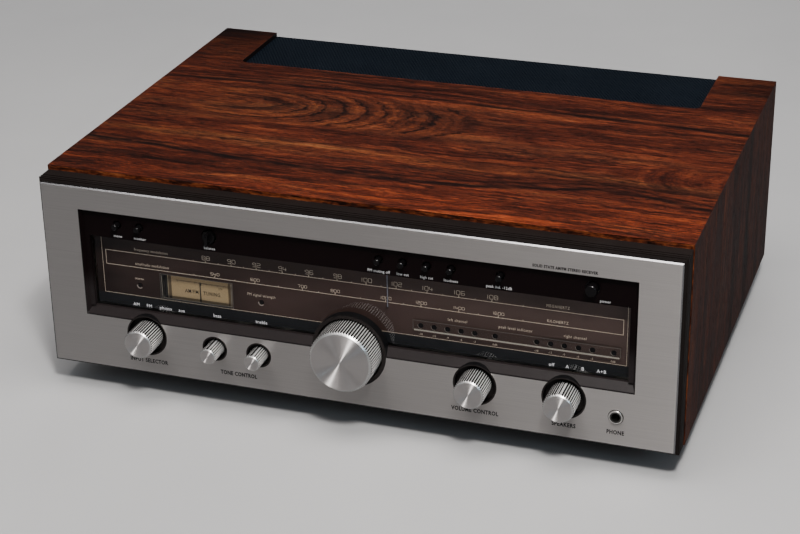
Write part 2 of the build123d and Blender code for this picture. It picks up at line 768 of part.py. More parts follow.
# Grille over the heat sink: sheet in the notch, flanges under the top board, lip behind.
grille_gap = 0.3
grille_t = 1.2
grille_low = 147.3        # underside of the sheet
grille_half_w = notch_half_w - grille_gap
flange_half_w = notch_half_w + 10.0
with BuildPart() as vent_grille:
    with BuildSketch(level(grille_low)):
        notch_outline(grille_gap)
        # Trim the sheet at the cabinet's back edge.
        band(2 * wood_half_w, wood_back, wood_back + 40.0, mode=Mode.SUBTRACT)
    extrude(amount=grille_t)
    for sign in (-1, 1):
        outer_x = sign * grille_half_w
        inner_x = sign * (grille_half_w - grille_t)
        with BuildSketch(front(wood_back)):
            with BuildLine():
                Polyline((outer_x, grille_low), (inner_x, grille_low),
                         (inner_x, inner_high - grille_t),
                         (sign * flange_half_w, inner_high - grille_t),
                         (sign * flange_half_w, inner_high), (outer_x, inner_high),
                         close=True)
            make_face()
        extrude(amount=wood_back - notch_front - 6.0)
    with BuildSketch(side(-grille_half_w)):
        with BuildLine():
            Polyline((wood_back, grille_low), (wood_back, 130.0),
                     (wood_back - grille_t, 130.0), (wood_back - grille_t, grille_low),
                     close=True)
        make_face()
    extrude(amount=2 * grille_half_w)
save(vent_grille, "vent_grille")

# ---------------------------------------------------------------------------
# Chassis
# ---------------------------------------------------------------------------
# Tray with low side walls and two rows of slots in its floor.
tray_wall_t = 1.2
with BuildPart() as chassis_tray:
    with BuildSketch(level(-chassis_t)):
        band(chassis_w, 19.5, rear_d)
    extrude(amount=chassis_t)
    for sign in (-1, 1):
        with BuildSketch(level(0)):
            band(tray_wall_t, 60.0, rear_d, x=sign * (chassis_w - tray_wall_t) / 2)
        extrude(amount=60.0)
    with BuildSketch(level(-chassis_t)):
        with Locations((0, 200.0)):
            with GridLocations(12.0, 70.0, 24, 2):
                SlotOverall(50.0, 4.0, rotation=90)
    extrude(amount=chassis_t, mode=Mode.SUBTRACT)
save(chassis_tray, "chassis_tray")

# Plate that carries the dial drive and the rotary controls, with forward side flanges,
# a foot behind, and the spigots and posts that guide the cord.
subchassis_w, subchassis_h = 452.0, 108.0
flange_rise = 0.4         # the front part of a side flange clears the floor
cord_supports = [         # centres, radius, depth of the front end
    ([(-idler_x, idler_h), (idler_x, idler_h)], 2.0, 24.0),
    ([(-idler_x, idler_h), (idler_x, idler_h)], 3.2, 32.8),
    ([(-post_x, left_post_h), (post_x, right_post_h)], post_r, 25.5),
]
with BuildPart() as front_subchassis:
    with BuildSketch(front(subchassis_back)):
        band(subchassis_w, 0, subchassis_h)
    extrude(amount=subchassis_t)
    for sign in (-1, 1):
        flange_x = sign * (subchassis_w - subchassis_t) / 2
        with BuildSketch(level(0)):
            band(subchassis_t, 20.0, subchassis_front, x=flange_x)
        extrude(amount=subchassis_h)
        with BuildSketch(level(flange_rise)):
            band(subchassis_t, 6.0, 34.0, x=flange_x)
        extrude(amount=subchassis_h - flange_rise)
    with BuildSketch(level(0)):
        band(440.0, subchassis_back, subchassis_back + 14.0)
    extrude(amount=subchassis_t)
    with BuildSketch(front(subchassis_back)):
        for centre in (selector_xz, bass_xz, treble_xz, volume_xz, speaker_xz):
            disc(centre, well_bore_r)
        for centre in (tuning_xz, drum_xz):
            disc(centre, shaft_r + shaft_clear)
        block(phone_xz, 14.0, 16.0)
    extrude(amount=subchassis_t, mode=Mode.SUBTRACT)
    for centres, radius, support_front in cord_supports:
        with BuildSketch(front(subchassis_front)):
            for centre in centres:
                disc(centre, radius)
        extrude(amount=subchassis_front - support_front)
save(front_subchassis, "front_subchassis")

# Positions on the back of the set.
jack_places = [(-104.0 + 18.0 * i, height) for i in range(6) for height in (38.0, 58.0)]
speaker_pitch = 15.0
speaker_x = [16.0 + speaker_pitch * i for i in range(8)]
speaker_h = 48.0
antenna_x = [-200.0 + 16.0 * i for i in range(4)]
antenna_h = 70.0
outlet_x = [162.0, 202.0]
outlet_h = 72.0
outlet_w, outlet_body_h = 28.0, 22.0
bushing_xz = (205.0, 24.0)
fuse_xz = (165.0, 24.0)
hinge_x, hinge_d = -212.0, 359.0
ear_low, ear_high = 107.0, 130.0

# Rear panel with the hinge ears of the bar antenna.
ear_outline = [           # x, depth
    (hinge_x - 7.0, outside), (hinge_x - 7.0, hinge_d + 4.0), (hinge_x - 4.0, hinge_d + 7.0),
    (hinge_x + 4.0, hinge_d + 7.0), (hinge_x + 7.0, hinge_d + 4.0), (hinge_x + 7.0, outside),
]
with BuildPart() as rear_panel:
    with BuildSketch(front(outside)):
        band(chassis_w, -chassis_t, 138.5)
        with Locations((0, 112.0)):
            with GridLocations(13.0, 1.0, 20, 1):
                SlotOverall(34.0, 5.0, rotation=90, mode=Mode.SUBTRACT)
    extrude(amount=rear_t)
    for height in (ear_low, ear_high):
        with BuildSketch(level(height)):
            with BuildLine():
                Polyline(*ear_outline, close=True)
            make_face()
            disc((hinge_x, hinge_d), 2.05, mode=Mode.SUBTRACT)
        extrude(amount=1.5)
    with BuildSketch(front(outside)):
        for centre in jack_places:
            disc(centre, 5.0)
        for x in speaker_x:
            disc((x, speaker_h), 3.2)
        for x in antenna_x:
            disc((x, antenna_h), 2.4)
        for x in outlet_x:
            block((x, outlet_h), outlet_w + 0.4, outlet_body_h + 0.4)
        disc(bushing_xz, 6.1)
        disc(fuse_xz, 6.4)
    extrude(amount=rear_t, mode=Mode.SUBTRACT)
save(rear_panel, "rear_panel")

# Round feet, each with a blind hole in the sole.
foot_x, foot_depths = 190.0, (55.0, 310.0)
foot_r = 17.0
foot_low = -panel_z
foot_profile = [          # radius, height
    (0, foot_low + 6.0), (4.5, foot_low + 6.0), (4.5, foot_low), (foot_r - 1.2, foot_low),
    (foot_r, foot_low + 1.2), (foot_r + 1.6, -chassis_t), (0, -chassis_t),
]
with BuildPart() as feet:
    for depth in foot_depths:
        for x in (-foot_x, foot_x):
            with BuildSketch(side(x)):
                with BuildLine():
                    Polyline(*[(depth + radius, height) for radius, height in foot_profile],
                             close=True)
                make_face()
            revolve(axis=Axis((x, y_at(depth), 0), (0, 0, 1)))
save(feet, "feet")

# Cross-head screws of the rear panel, each a separate body.
screw_places = [          # x, height
    (-222, 8), (-110, 8), (0, 8), (110, 8), (222, 8), (-222, 92), (222, 92),
    (-222, 120), (222, 132), (-126, 84), (136, 84), (40, 84), (-40, 84),
]
screw_end = outside + 2.2
screw_profile = [         # depth, radius
    (outside, 0), (outside, 3.2), (outside + 1.0, 3.0), (outside + 2.0, 2.0),
    (screw_end, 1.0), (screw_end, 0),
]
with BuildPart() as panel_screws:
    for centre in screw_places:
        with BuildSketch(side(centre[0])):
            with BuildLine():
                Polyline(*turning(centre, screw_profile), close=True)
            make_face()
        revolve(axis=shaft_axis(centre))
        with BuildSketch(front(screw_end)):
            block(centre, 4.2, 0.8)
            block(centre, 0.8, 4.2)
        extrude(amount=0.9, mode=Mode.SUBTRACT)
save(panel_screws, "panel_screws")

# ---------------------------------------------------------------------------
# Inside the set
# ---------------------------------------------------------------------------
# Transformer: base plate, core and winding.
transformer_place = (150.0, 245.0)   # x, depth
transformer_base_t = 4.0
with BuildPart() as power_transformer:
    with BuildSketch(level(0)):
        block(transformer_place, 96.0, 70.0)
    extrude(amount=transformer_base_t)
    with BuildSketch(level(transformer_base_t)):
        block(transformer_place, 84.0, 44.0)
    extrude(amount=76.0)
    with BuildSketch(level(16.0)):
        with Locations(transformer_place):
            RectangleRounded(58.0, 72.0, 8.0)
    extrude(amount=52.0)
save(power_transformer, "power_transformer")

# Heat sink under the grille: plate with upright fins behind it, on two legs.
sink_x, sink_d = -40.0, 282.0        # middle of the plate
sink_plate_t = 6.0
sink_low = 12.0
with BuildPart() as heat_sink:
    with BuildSketch(level(sink_low)):
        block((sink_x, sink_d), 230.0, sink_plate_t)
        with Locations((sink_x, 305.0)):
            with GridLocations(12.0, 1.0, 20, 1):
                Rectangle(2.0, 42.0)
    extrude(amount=112.0)
    with BuildSketch(level(0)):
        for leg_x in (sink_x - 110.0, sink_x + 110.0):
            block((leg_x, sink_d), 8.0, sink_plate_t)
    extrude(amount=sink_low)
save(heat_sink, "heat_sink")

# Output transistors on the sink's flat front: oval flange and round can.
sink_front = sink_d - sink_plate_t / 2
transistor_flange_t = 1.6
with BuildPart() as output_transistors:
    with BuildSketch(front(sink_front)):
        with Locations((sink_x, 70.0)):
            with GridLocations(52.0, 1.0, 4, 1):
                SlotOverall(38.0, 25.0)
    extrude(amount=transistor_flange_t)
    with BuildSketch(front(sink_front - transistor_flange_t)):
        with Locations((sink_x, 70.0)):
            with GridLocations(52.0, 1.0, 4, 1):
                Circle(10.5)
    extrude(amount=6.4)
save(output_transistors, "output_transistors")

# Filter capacitors on the supply board, each with a groove round it near the bottom.
board_low, board_t = 8.0, 1.6
capacitor_r = 17.5
supply_d = 165.0
with BuildPart() as filter_capacitors:
    for x in (120.0, 165.0):
        with BuildSketch(level(board_low + board_t)):
            disc((x, supply_d), capacitor_r)
        extrude(amount=72.0)
        with BuildSketch(level(14.0)):
            disc((x, supply_d), capacitor_r + 1.0)
            disc((x, supply_d), capacitor_r - 0.5, mode=Mode.SUBTRACT)
        extrude(amount=2.5, mode=Mode.SUBTRACT)
save(filter_capacitors, "filter_capacitors")

# Circuit boards: three on stand-offs, three behind the indicator lamps and one above
# the push switches.
floor_boards = [          # x, depth, width, length front to back
    (-115.0, 165.0, 200.0, 150.0),
    (-40.0, 258.0, 220.0, 30.0),
    (142.0, supply_d, 110.0, 70.0),
]
switch_board_left, switch_board_right = -190.0, 125.0
with BuildPart() as circuit_boards:
    for x, depth, width, length in floor_boards:
        with BuildSketch(level(board_low)):
            block((x, depth), width, length)
        extrude(amount=board_t)
        with BuildSketch(level(0)):
            with Locations((x, depth)):
                with GridLocations(width - 12.0, length - 12.0, 2, 2):
                    Circle(3.0)
        extrude(amount=board_low)
    with BuildSketch(front(18.6)):
        block(((strip_left + strip_right) / 2, led_h + 2.0), 156.0, 12.0)
        block((stereo_led_x, led_h), 14.0, 12.0)
        block((signal_led_x, led_h), 14.0, 12.0)
    extrude(amount=board_t)
    with BuildSketch(level(123.7)):
        block(((switch_board_left + switch_board_right) / 2, 25.0),
              switch_board_right - switch_board_left, 22.0)
        # Gap over the balance control.
        block((balance_xz[0], 25.0), 16.0, 30.0, mode=Mode.SUBTRACT)
    extrude(amount=board_t)
save(circuit_boards, "circuit_boards")

# ---------------------------------------------------------------------------
# Back of the set
# ---------------------------------------------------------------------------
# Coaxial jacks, each a separate body: plug behind the panel, collar and hollow shell.
rca_profile = [(outside + offset, radius) for offset, radius in (
    (-6.0, 0), (-6.0, 4.8), (0, 4.8), (0, 6.4), (1.6, 6.4), (1.6, 4.15),
    (10.6, 4.15), (10.6, 3.4), (2.6, 3.4), (2.6, 1.7), (-4.0, 1.7), (-4.0, 0),
)]
turned_part("rca_jacks", [(centre, rca_profile) for centre in jack_places])

# Speaker terminals on a common strip: fluted caps, studs and barriers between them.
terminal_strip_t = 2.0
with BuildPart() as speaker_terminals:
    with BuildSketch(front(outside + terminal_strip_t)):
        with Locations((sum(speaker_x) / len(speaker_x), speaker_h)):
            RectangleRounded(126.0, 24.0, 2.0)
    extrude(amount=terminal_strip_t)
    for x in speaker_x:
        with BuildSketch(front(outside + 13.0)):
            with Locations((x, speaker_h)):
                Circle(5.4)
                with PolarLocations(5.6, 12):
                    Circle(0.7, mode=Mode.SUBTRACT)
        extrude(amount=9.0)
        with BuildSketch(front(outside + 4.0)):
            disc((x, speaker_h), 3.0)
        extrude(amount=12.0)
    for x in speaker_x[:-1]:
        with BuildSketch(front(outside + 9.0)):
            block((x + speaker_pitch / 2, speaker_h), 1.4, 22.0)
        extrude(amount=7.0)
save(speaker_terminals, "speaker_terminals")

# Antenna and earth terminals on a strip: slotted heads on studs.
with BuildPart() as antenna_terminals:
    with BuildSketch(front(outside + terminal_strip_t)):
        with Locations((sum(antenna_x) / len(antenna_x), antenna_h)):
            RectangleRounded(66.0, 18.0, 2.0)
    extrude(amount=terminal_strip_t)
    for x in antenna_x:
        with BuildSketch(front(outside + 6.5)):
            disc((x, antenna_h), 4.0)
            block((x, antenna_h), 8.4, 1.0, mode=Mode.SUBTRACT)
        extrude(amount=3.0)
        with BuildSketch(front(outside + 3.5)):
            disc((x, antenna_h), 2.2)
        extrude(amount=9.0)
save(antenna_terminals, "antenna_terminals")

# Two mains outlets and the fuse holder.
outlet_flange_t = 2.2
fuse_flange_t = 2.5
fuse_end = outside + 10.0
with BuildPart() as ac_outlets:
    for x in outlet_x:
        with BuildSketch(front(outside + outlet_flange_t)):
            with Locations((x, outlet_h)):
                RectangleRounded(34.0, 28.0, 3.0)
        extrude(amount=outlet_flange_t)
        with BuildSketch(front(outside)):
            block((x, outlet_h), outlet_w, outlet_body_h)
        extrude(amount=16.0)
        with BuildSketch(front(outside + outlet_flange_t)):
            with Locations((x, outlet_h)):
                with GridLocations(12.5, 1.0, 2, 1):
                    Rectangle(2.2, 7.5)
        extrude(amount=12.0, mode=Mode.SUBTRACT)
    with BuildSketch(front(outside + fuse_flange_t)):
        disc(fuse_xz, 8.0)
    extrude(amount=fuse_flange_t)
    with BuildSketch(front(fuse_end)):
        disc(fuse_xz, 6.2)
    extrude(amount=30.0)
    with BuildSketch(front(fuse_end)):
        block(fuse_xz, 9.0, 1.2)
    extrude(amount=1.4, mode=Mode.SUBTRACT)
save(ac_outlets, "ac_outlets")

# Bar antenna on a hinge: pin through the ears, sleeve between them, arm and rod.
rod_centre = (hinge_d, 120.0)        # depth, height
rod_pieces = [            # start to the right of the hinge, length, radius
    (24.0, 8.0, 7.4),
    (32.0, 150.0, 5.6),
    (182.0, 6.0, 7.0),
]
with BuildPart() as ferrite_antenna:
    with BuildSketch(level(ear_low - 1.0)):
        disc((hinge_x, hinge_d), 2.0)
    extrude(amount=ear_high - ear_low + 3.5)
    with BuildSketch(level(ear_low + 1.8)):
        disc((hinge_x, hinge_d), 5.0)
    extrude(amount=ear_high - ear_low - 2.1)
    with BuildSketch(level(114.0)):
        block((hinge_x + 14.0, hinge_d), 24.0, 7.0)
    extrude(amount=12.0)
    for start, length, radius in rod_pieces:
        with BuildSketch(side(hinge_x + start)):
            disc(rod_centre, radius)
        extrude(amount=length)
save(ferrite_antenna, "ferrite_antenna")

# Mains cord: bushing in the panel, cord down to the floor and along it, and the plug.
wire_r = 2.7
wire_bend_r = 6.0
wire_back_d = 371.0 - wire_r         # centre line of the hanging part
wire_floor_h = -panel_z + wire_r     # centre line of the part on the floor
bushing_x, bushing_h = bushing_xz
bushing_end = outside + 12.0
upper_bend_h = bushing_h - wire_bend_r
lower_bend_h = wire_floor_h + wire_bend_r
plug_x = 36.0
plug_l = 30.0
plug_centre = (362.0, -panel_z + 6.5)     # depth, height
with BuildPart() as power_cord:
    with BuildSketch(front(bushing_end)):
        disc(bushing_xz, 4.4)
    extrude(amount=12.0)
    with BuildSketch(front(outside + 2.5)):
        disc(bushing_xz, 8.0)
    extrude(amount=2.5)
    with BuildSketch(front(outside + 2.5)):
        disc(bushing_xz, 5.9)
    extrude(amount=14.0)
    # Straight back, bend down, down, bend to the left, along the floor.
    with BuildSketch(front(wire_back_d - wire_bend_r)):
        disc(bushing_xz, wire_r)
    extrude(amount=wire_back_d - wire_bend_r - bushing_end)
    with BuildSketch(level(upper_bend_h)):
        disc((bushing_x, wire_back_d), wire_r)
    revolve(axis=Axis((bushing_x, y_at(wire_back_d - wire_bend_r), z_at(upper_bend_h)),
                      (1, 0, 0)), revolution_arc=90)
    with BuildSketch(level(lower_bend_h)):
        disc((bushing_x, wire_back_d), wire_r)
    extrude(amount=upper_bend_h - lower_bend_h)
    with BuildSketch(level(lower_bend_h)):
        disc((bushing_x, wire_back_d), wire_r)
    revolve(axis=Axis((bushing_x - wire_bend_r, y_at(wire_back_d), z_at(lower_bend_h)),
                      (0, 1, 0)), revolution_arc=90)
    with BuildSketch(side(bushing_x - wire_bend_r)):
        disc((wire_back_d, wire_floor_h), wire_r)
    extrude(amount=plug_x - bushing_x + wire_bend_r)
    # Plug with two flat pins at the far end of the cord.
    with BuildSketch(side(plug_x)):
        with Locations(plug_centre):
            RectangleRounded(16.0, 13.0, 3.0)
    extrude(amount=-plug_l)
    with BuildSketch(side(plug_x - plug_l)):
        with Locations(plug_centre):
            with GridLocations(9.0, 1.0, 2, 1):
                Rectangle(1.5, 6.2)
    extrude(amount=-17.0)
save(power_cord, "power_cord")
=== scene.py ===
"""Stereo receiver in a rosewood cabinet: dial, knobs, grille, printing, studio.

The receiver faces -Y, with +X to its right as seen from the front and +Z up. Sizes are in
millimetres: x from the middle, depth behind the faceplate's front, height above its bottom edge.
"""
import math
from contextlib import contextmanager

import bmesh
import bpy
from mathutils import Matrix, Vector

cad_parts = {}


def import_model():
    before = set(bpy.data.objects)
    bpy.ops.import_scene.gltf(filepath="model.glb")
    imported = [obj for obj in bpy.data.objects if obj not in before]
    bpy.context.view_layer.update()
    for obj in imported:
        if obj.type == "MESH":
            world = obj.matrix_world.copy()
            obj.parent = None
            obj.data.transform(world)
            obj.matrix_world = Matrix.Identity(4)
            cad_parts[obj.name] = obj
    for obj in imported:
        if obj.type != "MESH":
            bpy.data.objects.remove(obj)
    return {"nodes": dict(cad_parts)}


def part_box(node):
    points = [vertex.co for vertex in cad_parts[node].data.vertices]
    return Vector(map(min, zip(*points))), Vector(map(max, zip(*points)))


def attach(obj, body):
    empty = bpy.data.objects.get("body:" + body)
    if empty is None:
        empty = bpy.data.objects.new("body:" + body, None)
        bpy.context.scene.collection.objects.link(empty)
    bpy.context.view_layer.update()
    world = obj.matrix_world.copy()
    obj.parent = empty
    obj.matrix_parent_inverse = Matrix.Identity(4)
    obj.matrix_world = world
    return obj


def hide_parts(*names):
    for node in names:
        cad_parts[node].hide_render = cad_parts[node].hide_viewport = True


CAD_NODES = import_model()["nodes"]
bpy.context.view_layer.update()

plate_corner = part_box("faceplate")[0]
FRONT_Y = plate_corner.y
BOTTOM_Z = plate_corner.z
MM_PER_M = 1000.0


def place(x, depth, height):
    """Scene position, in metres, of a point given in the receiver's millimetres."""
    return Vector((x / MM_PER_M, FRONT_Y + depth / MM_PER_M, BOTTOM_Z + height / MM_PER_M))


# ---------------------------------------------------------------------------
# Shader nodes
# ---------------------------------------------------------------------------
class Value:
    """An output socket; arithmetic on it adds Math nodes."""

    def __init__(self, nodes, socket):
        self.nodes = nodes
        self.socket = socket

    def __add__(self, other):
        return self.nodes.math("ADD", self, other)

    def __radd__(self, other):
        return self.nodes.math("ADD", other, self)

    def __sub__(self, other):
        return self.nodes.math("SUBTRACT", self, other)

    def __rsub__(self, other):
        return self.nodes.math("SUBTRACT", other, self)

    def __mul__(self, other):
        return self.nodes.math("MULTIPLY", self, other)

    def __abs__(self):
        return self.nodes.math("ABSOLUTE", self)


def sway(value, amount):
    """Noise centred on zero and scaled."""
    return (value - 0.5) * amount


class Nodes:
    """Adds nodes to a tree. Colours are given as three numbers."""

    def __init__(self, tree):
        self.tree = tree

    def put(self, socket, value):
        if isinstance(value, Value):
            self.tree.links.new(value.socket, socket)
        elif isinstance(value, tuple):
            socket.default_value = (*value, 1.0)
        else:
            socket.default_value = value

    def node(self, kind, inputs=None, **settings):
        """New node, with its inputs given by name or number."""
        node = self.tree.nodes.new(kind)
        for key, value in settings.items():
            setattr(node, key, value)
        for key, value in (inputs or {}).items():
            self.put(node.inputs[key], value)
        return node

    def value(self, kind, inputs=None, output=0, **settings):
        return Value(self, self.node(kind, inputs, **settings).outputs[output])

    def math(self, operation, *operands):
        return self.value("ShaderNodeMath", dict(enumerate(operands)), operation=operation)

    def highest(self, first, second):
        return self.math("MAXIMUM", first, second)

    def linear(self, value, from_lo, from_hi, to_lo=0.0, to_hi=1.0, kind="LINEAR"):
        """Maps the range from_lo..from_hi onto to_lo..to_hi."""
        inputs = dict(enumerate((value, from_lo, from_hi, to_lo, to_hi)))
        return self.value("ShaderNodeMapRange", inputs, interpolation_type=kind)

    def smooth(self, *ranges):
        """As linear, with eased ends."""
        return self.linear(*ranges, kind="SMOOTHSTEP")

    def vector(self, *parts):
        return self.value("ShaderNodeCombineXYZ", dict(enumerate(parts)))

    def split(self, vector):
        """The x, y and z of a vector."""
        outputs = self.node("ShaderNodeSeparateXYZ", {0: vector}).outputs
        return [Value(self, socket) for socket in outputs]

    def noise(self, position, scale=1.0, detail=2, rough=0.5):
        if isinstance(position, tuple):
            position = self.vector(*position)
        return self.value("ShaderNodeTexNoise", {
            "Vector": position, "Scale": scale, "Detail": detail, "Roughness": rough})

    def ramp(self, factor, stops):
        """Colour ramp through (position, colour) stops."""
        node = self.node("ShaderNodeValToRGB", {0: factor})
        elements = node.color_ramp.elements
        while len(elements) > 1:
            elements.remove(elements[-1])
        elements[0].position = stops[0][0]
        elements[0].color = (*stops[0][1], 1)
        for position, colour in stops[1:]:
            elements.new(position).color = (*colour, 1)
        return Value(self, node.outputs[0])

    def curve(self, factor, points):
        node = self.node("ShaderNodeFloatCurve", {"Value": factor})
        curve = node.mapping.curves[0]
        curve.points[0].location = points[0]
        curve.points[-1].location = points[-1]
        for point in points[1:-1]:
            curve.points.new(*point)
        node.mapping.update()
        return Value(self, node.outputs[0])

    def mix(self, factor, first, second, blend="MIX"):
        return self.value("ShaderNodeMix", {"Factor": factor, 6: first, 7: second}, 2,
                          data_type="RGBA", blend_type=blend)

    def multiply(self, colour, other):
        return self.mix(1.0, colour, other, "MULTIPLY")

    def tinted(self, amount, colour, tint):
        """The colour, multiplied by the tint where amount is 1."""
        return self.mix(amount, colour, self.multiply(colour, tint))

    def coords(self):
        """x, depth and height in millimetres, from the resting position of every piece."""
        x, y, z = self.split(self.value("ShaderNodeTexCoord", output="Object"))
        return x * MM_PER_M, (y - FRONT_Y) * MM_PER_M, (z - BOTTOM_Z) * MM_PER_M

    def normal(self):
        """x, y and z of the face's own normal."""
        return self.split(self.value("ShaderNodeNewGeometry", output="True Normal"))

    def bump(self, height, strength, distance):
        return self.value("ShaderNodeBump", {
            "Height": height, "Strength": strength, "Distance": distance})

    def tangent(self, axis):
        """Direction round an axis, for turned or brushed metal."""
        return self.value("ShaderNodeTangent", direction_type="RADIAL", axis=axis)

    def output(self, surface):
        self.node("ShaderNodeOutputMaterial", {0: surface})

    def principled(self, **inputs):
        """Surface of the material; underscores stand for spaces in the input names."""
        named = {key.replace("_", " "): value for key, value in inputs.items()}
        self.output(self.value("ShaderNodeBsdfPrincipled", named))


MATERIALS = {}


def new_material(name):
    """Adds an empty material and returns its nodes."""
    material = bpy.data.materials.new(name)
    material.use_nodes = True
    material.node_tree.nodes.clear()
    MATERIALS[name] = material
    return Nodes(material.node_tree)


# ---------------------------------------------------------------------------
# Rosewood
# ---------------------------------------------------------------------------
TOP_HALF_WIDTH = 243.0
STREAK_DEPTH_SCALE = 300.0      # depth that counts as 1 in the streak curves
LEFT_ARCH_DEPTH = 184.0         # centre lines of the two figures in the top board
RIGHT_ARCH_DEPTH = 128.0

# Dark streaks across the top board: (x, depth) points from left to right, half width, strength.
BOLD_STREAKS = (
    (((-243, 82), (-180, 79), (-120, 74), (-50, 69), (50, 71), (120, 82), (165, 93),
      (200, 88), (243, 77)), 3.6, 1.0),
    (((-243, 90), (-180, 86), (-120, 80), (-50, 77), (50, 79), (120, 92), (165, 101),
      (200, 95), (243, 84)), 1.5, 0.85),
    (((-243, 226), (-50, 233), (60, 231), (150, 230), (243, 226)), 2.4, 1.0),
    (((-243, 131), (-150, 122), (-60, 118), (40, 124), (150, 133), (243, 150)), 1.2, 0.7),
    (((-243, 238), (-50, 246), (60, 240), (150, 238), (243, 236)), 1.0, 0.6),
)


def nested_arches(mat, along, across, wander, quick, centre, taper, jag):
    """Field whose level lines are arches round a centre line, closing where taper grows."""
    offset = (across - centre) + wander * 0.35
    return mat.math("SQRT", offset * offset + taper * taper) + sway(quick, jag)


def arch_lines(mat, veins, arch, inside, along, across, mottle, flake, seed):
    """Adds the dark, jagged lines that draw the left figure's arches."""
    spacing = 8.0
    phase = mat.math("FRACT", (arch + sway(mottle, 5.0)) * (1.0 / spacing))
    width = 0.07 + mat.highest(flake - 0.34, 0.0) * 0.52
    lines = mat.smooth(abs(phase - 0.5), 0.0, width, 1.0, 0.0) * inside
    gaps = mat.noise((along * 0.022, across * 0.07, seed + 61.0), detail=2, rough=0.5)
    gaps = mat.smooth(gaps, 0.36, 0.50)
    return mat.highest(veins * (1.0 - inside * 0.6), lines * gaps)


def bold_streaks(mat, veins, along, across, broken, quick, seed):
    """Adds the bold dark streaks that run the width of the top board."""
    for points, half_width, strength in BOLD_STREAKS:
        fraction = mat.linear(along, -TOP_HALF_WIDTH, TOP_HALF_WIDTH)
        line = mat.curve(fraction, [
            ((x + TOP_HALF_WIDTH) / (2 * TOP_HALF_WIDTH), depth / STREAK_DEPTH_SCALE)
            for x, depth in points]) * STREAK_DEPTH_SCALE
        wobble = mat.noise((along * 0.03, seed + half_width * 9.0, 0.0), detail=3, rough=0.6)
        wobble = sway(wobble, 8.0) + sway(quick, 3.0)
        distance = abs(across - (line + wobble))
        swell = mat.noise((along * 0.020, seed + half_width * 5.0, 0.0), detail=3, rough=0.6)
        reach = (0.15 + swell * 1.8) * half_width
        dark = mat.smooth(distance, reach * 0.30, reach * 1.6, strength, 0.0)
        dark = dark * (0.72 + broken * 0.28)
        veins = mat.highest(veins, dark)
    return veins


def top_board_tones(mat, colour, along, across, grain, inside):
    """Light and dark zones of the top board, with painted shade towards the back and left."""
    golden_band = mat.smooth(abs(grain - 112.0), 1.0, 15.0, 0.42, 0.0)
    colour = mat.tinted(golden_band, colour, (1.25, 1.75, 1.5))
    colour = mat.tinted(inside * 0.42, colour, (1.15, 1.65, 1.5))
    warm_front = (mat.smooth(across, 34.0, 84.0, 1.0, 0.0)
                  * mat.smooth(along, -160.0, 60.0, 0.45, 1.0))
    colour = mat.tinted(warm_front, colour, (1.62, 1.42, 1.15))
    front_right = (mat.smooth(along, 20.0, 190.0, 0.0, 0.55)
                   * mat.smooth(across, 25.0, 95.0, 1.0, 0.0))
    colour = mat.tinted(front_right, colour, (1.55, 1.50, 1.30))
    # Painted shade to the back and left and in the back left corner; the back right arm is darker.
    shade = (mat.smooth(across, 200.0, 400.0, 1.0, 0.66)
             * mat.smooth(along, -250.0, -60.0, 0.80, 1.0))
    back_left_shade = (mat.smooth(along, -225.0, -150.0, 1.0, 0.0)
                 * mat.smooth(across, 250.0, 350.0, 0.0, 1.0))
    shade = shade * (1.0 - back_left_shade * 0.78)
    arm = (mat.smooth(along, 185.0, 225.0, 0.0, 1.0)
           * mat.smooth(across, 285.0, 335.0, 0.0, 1.0))
    shade = shade * (1.0 - arm * 0.50)
    return mat.multiply(colour, shade)


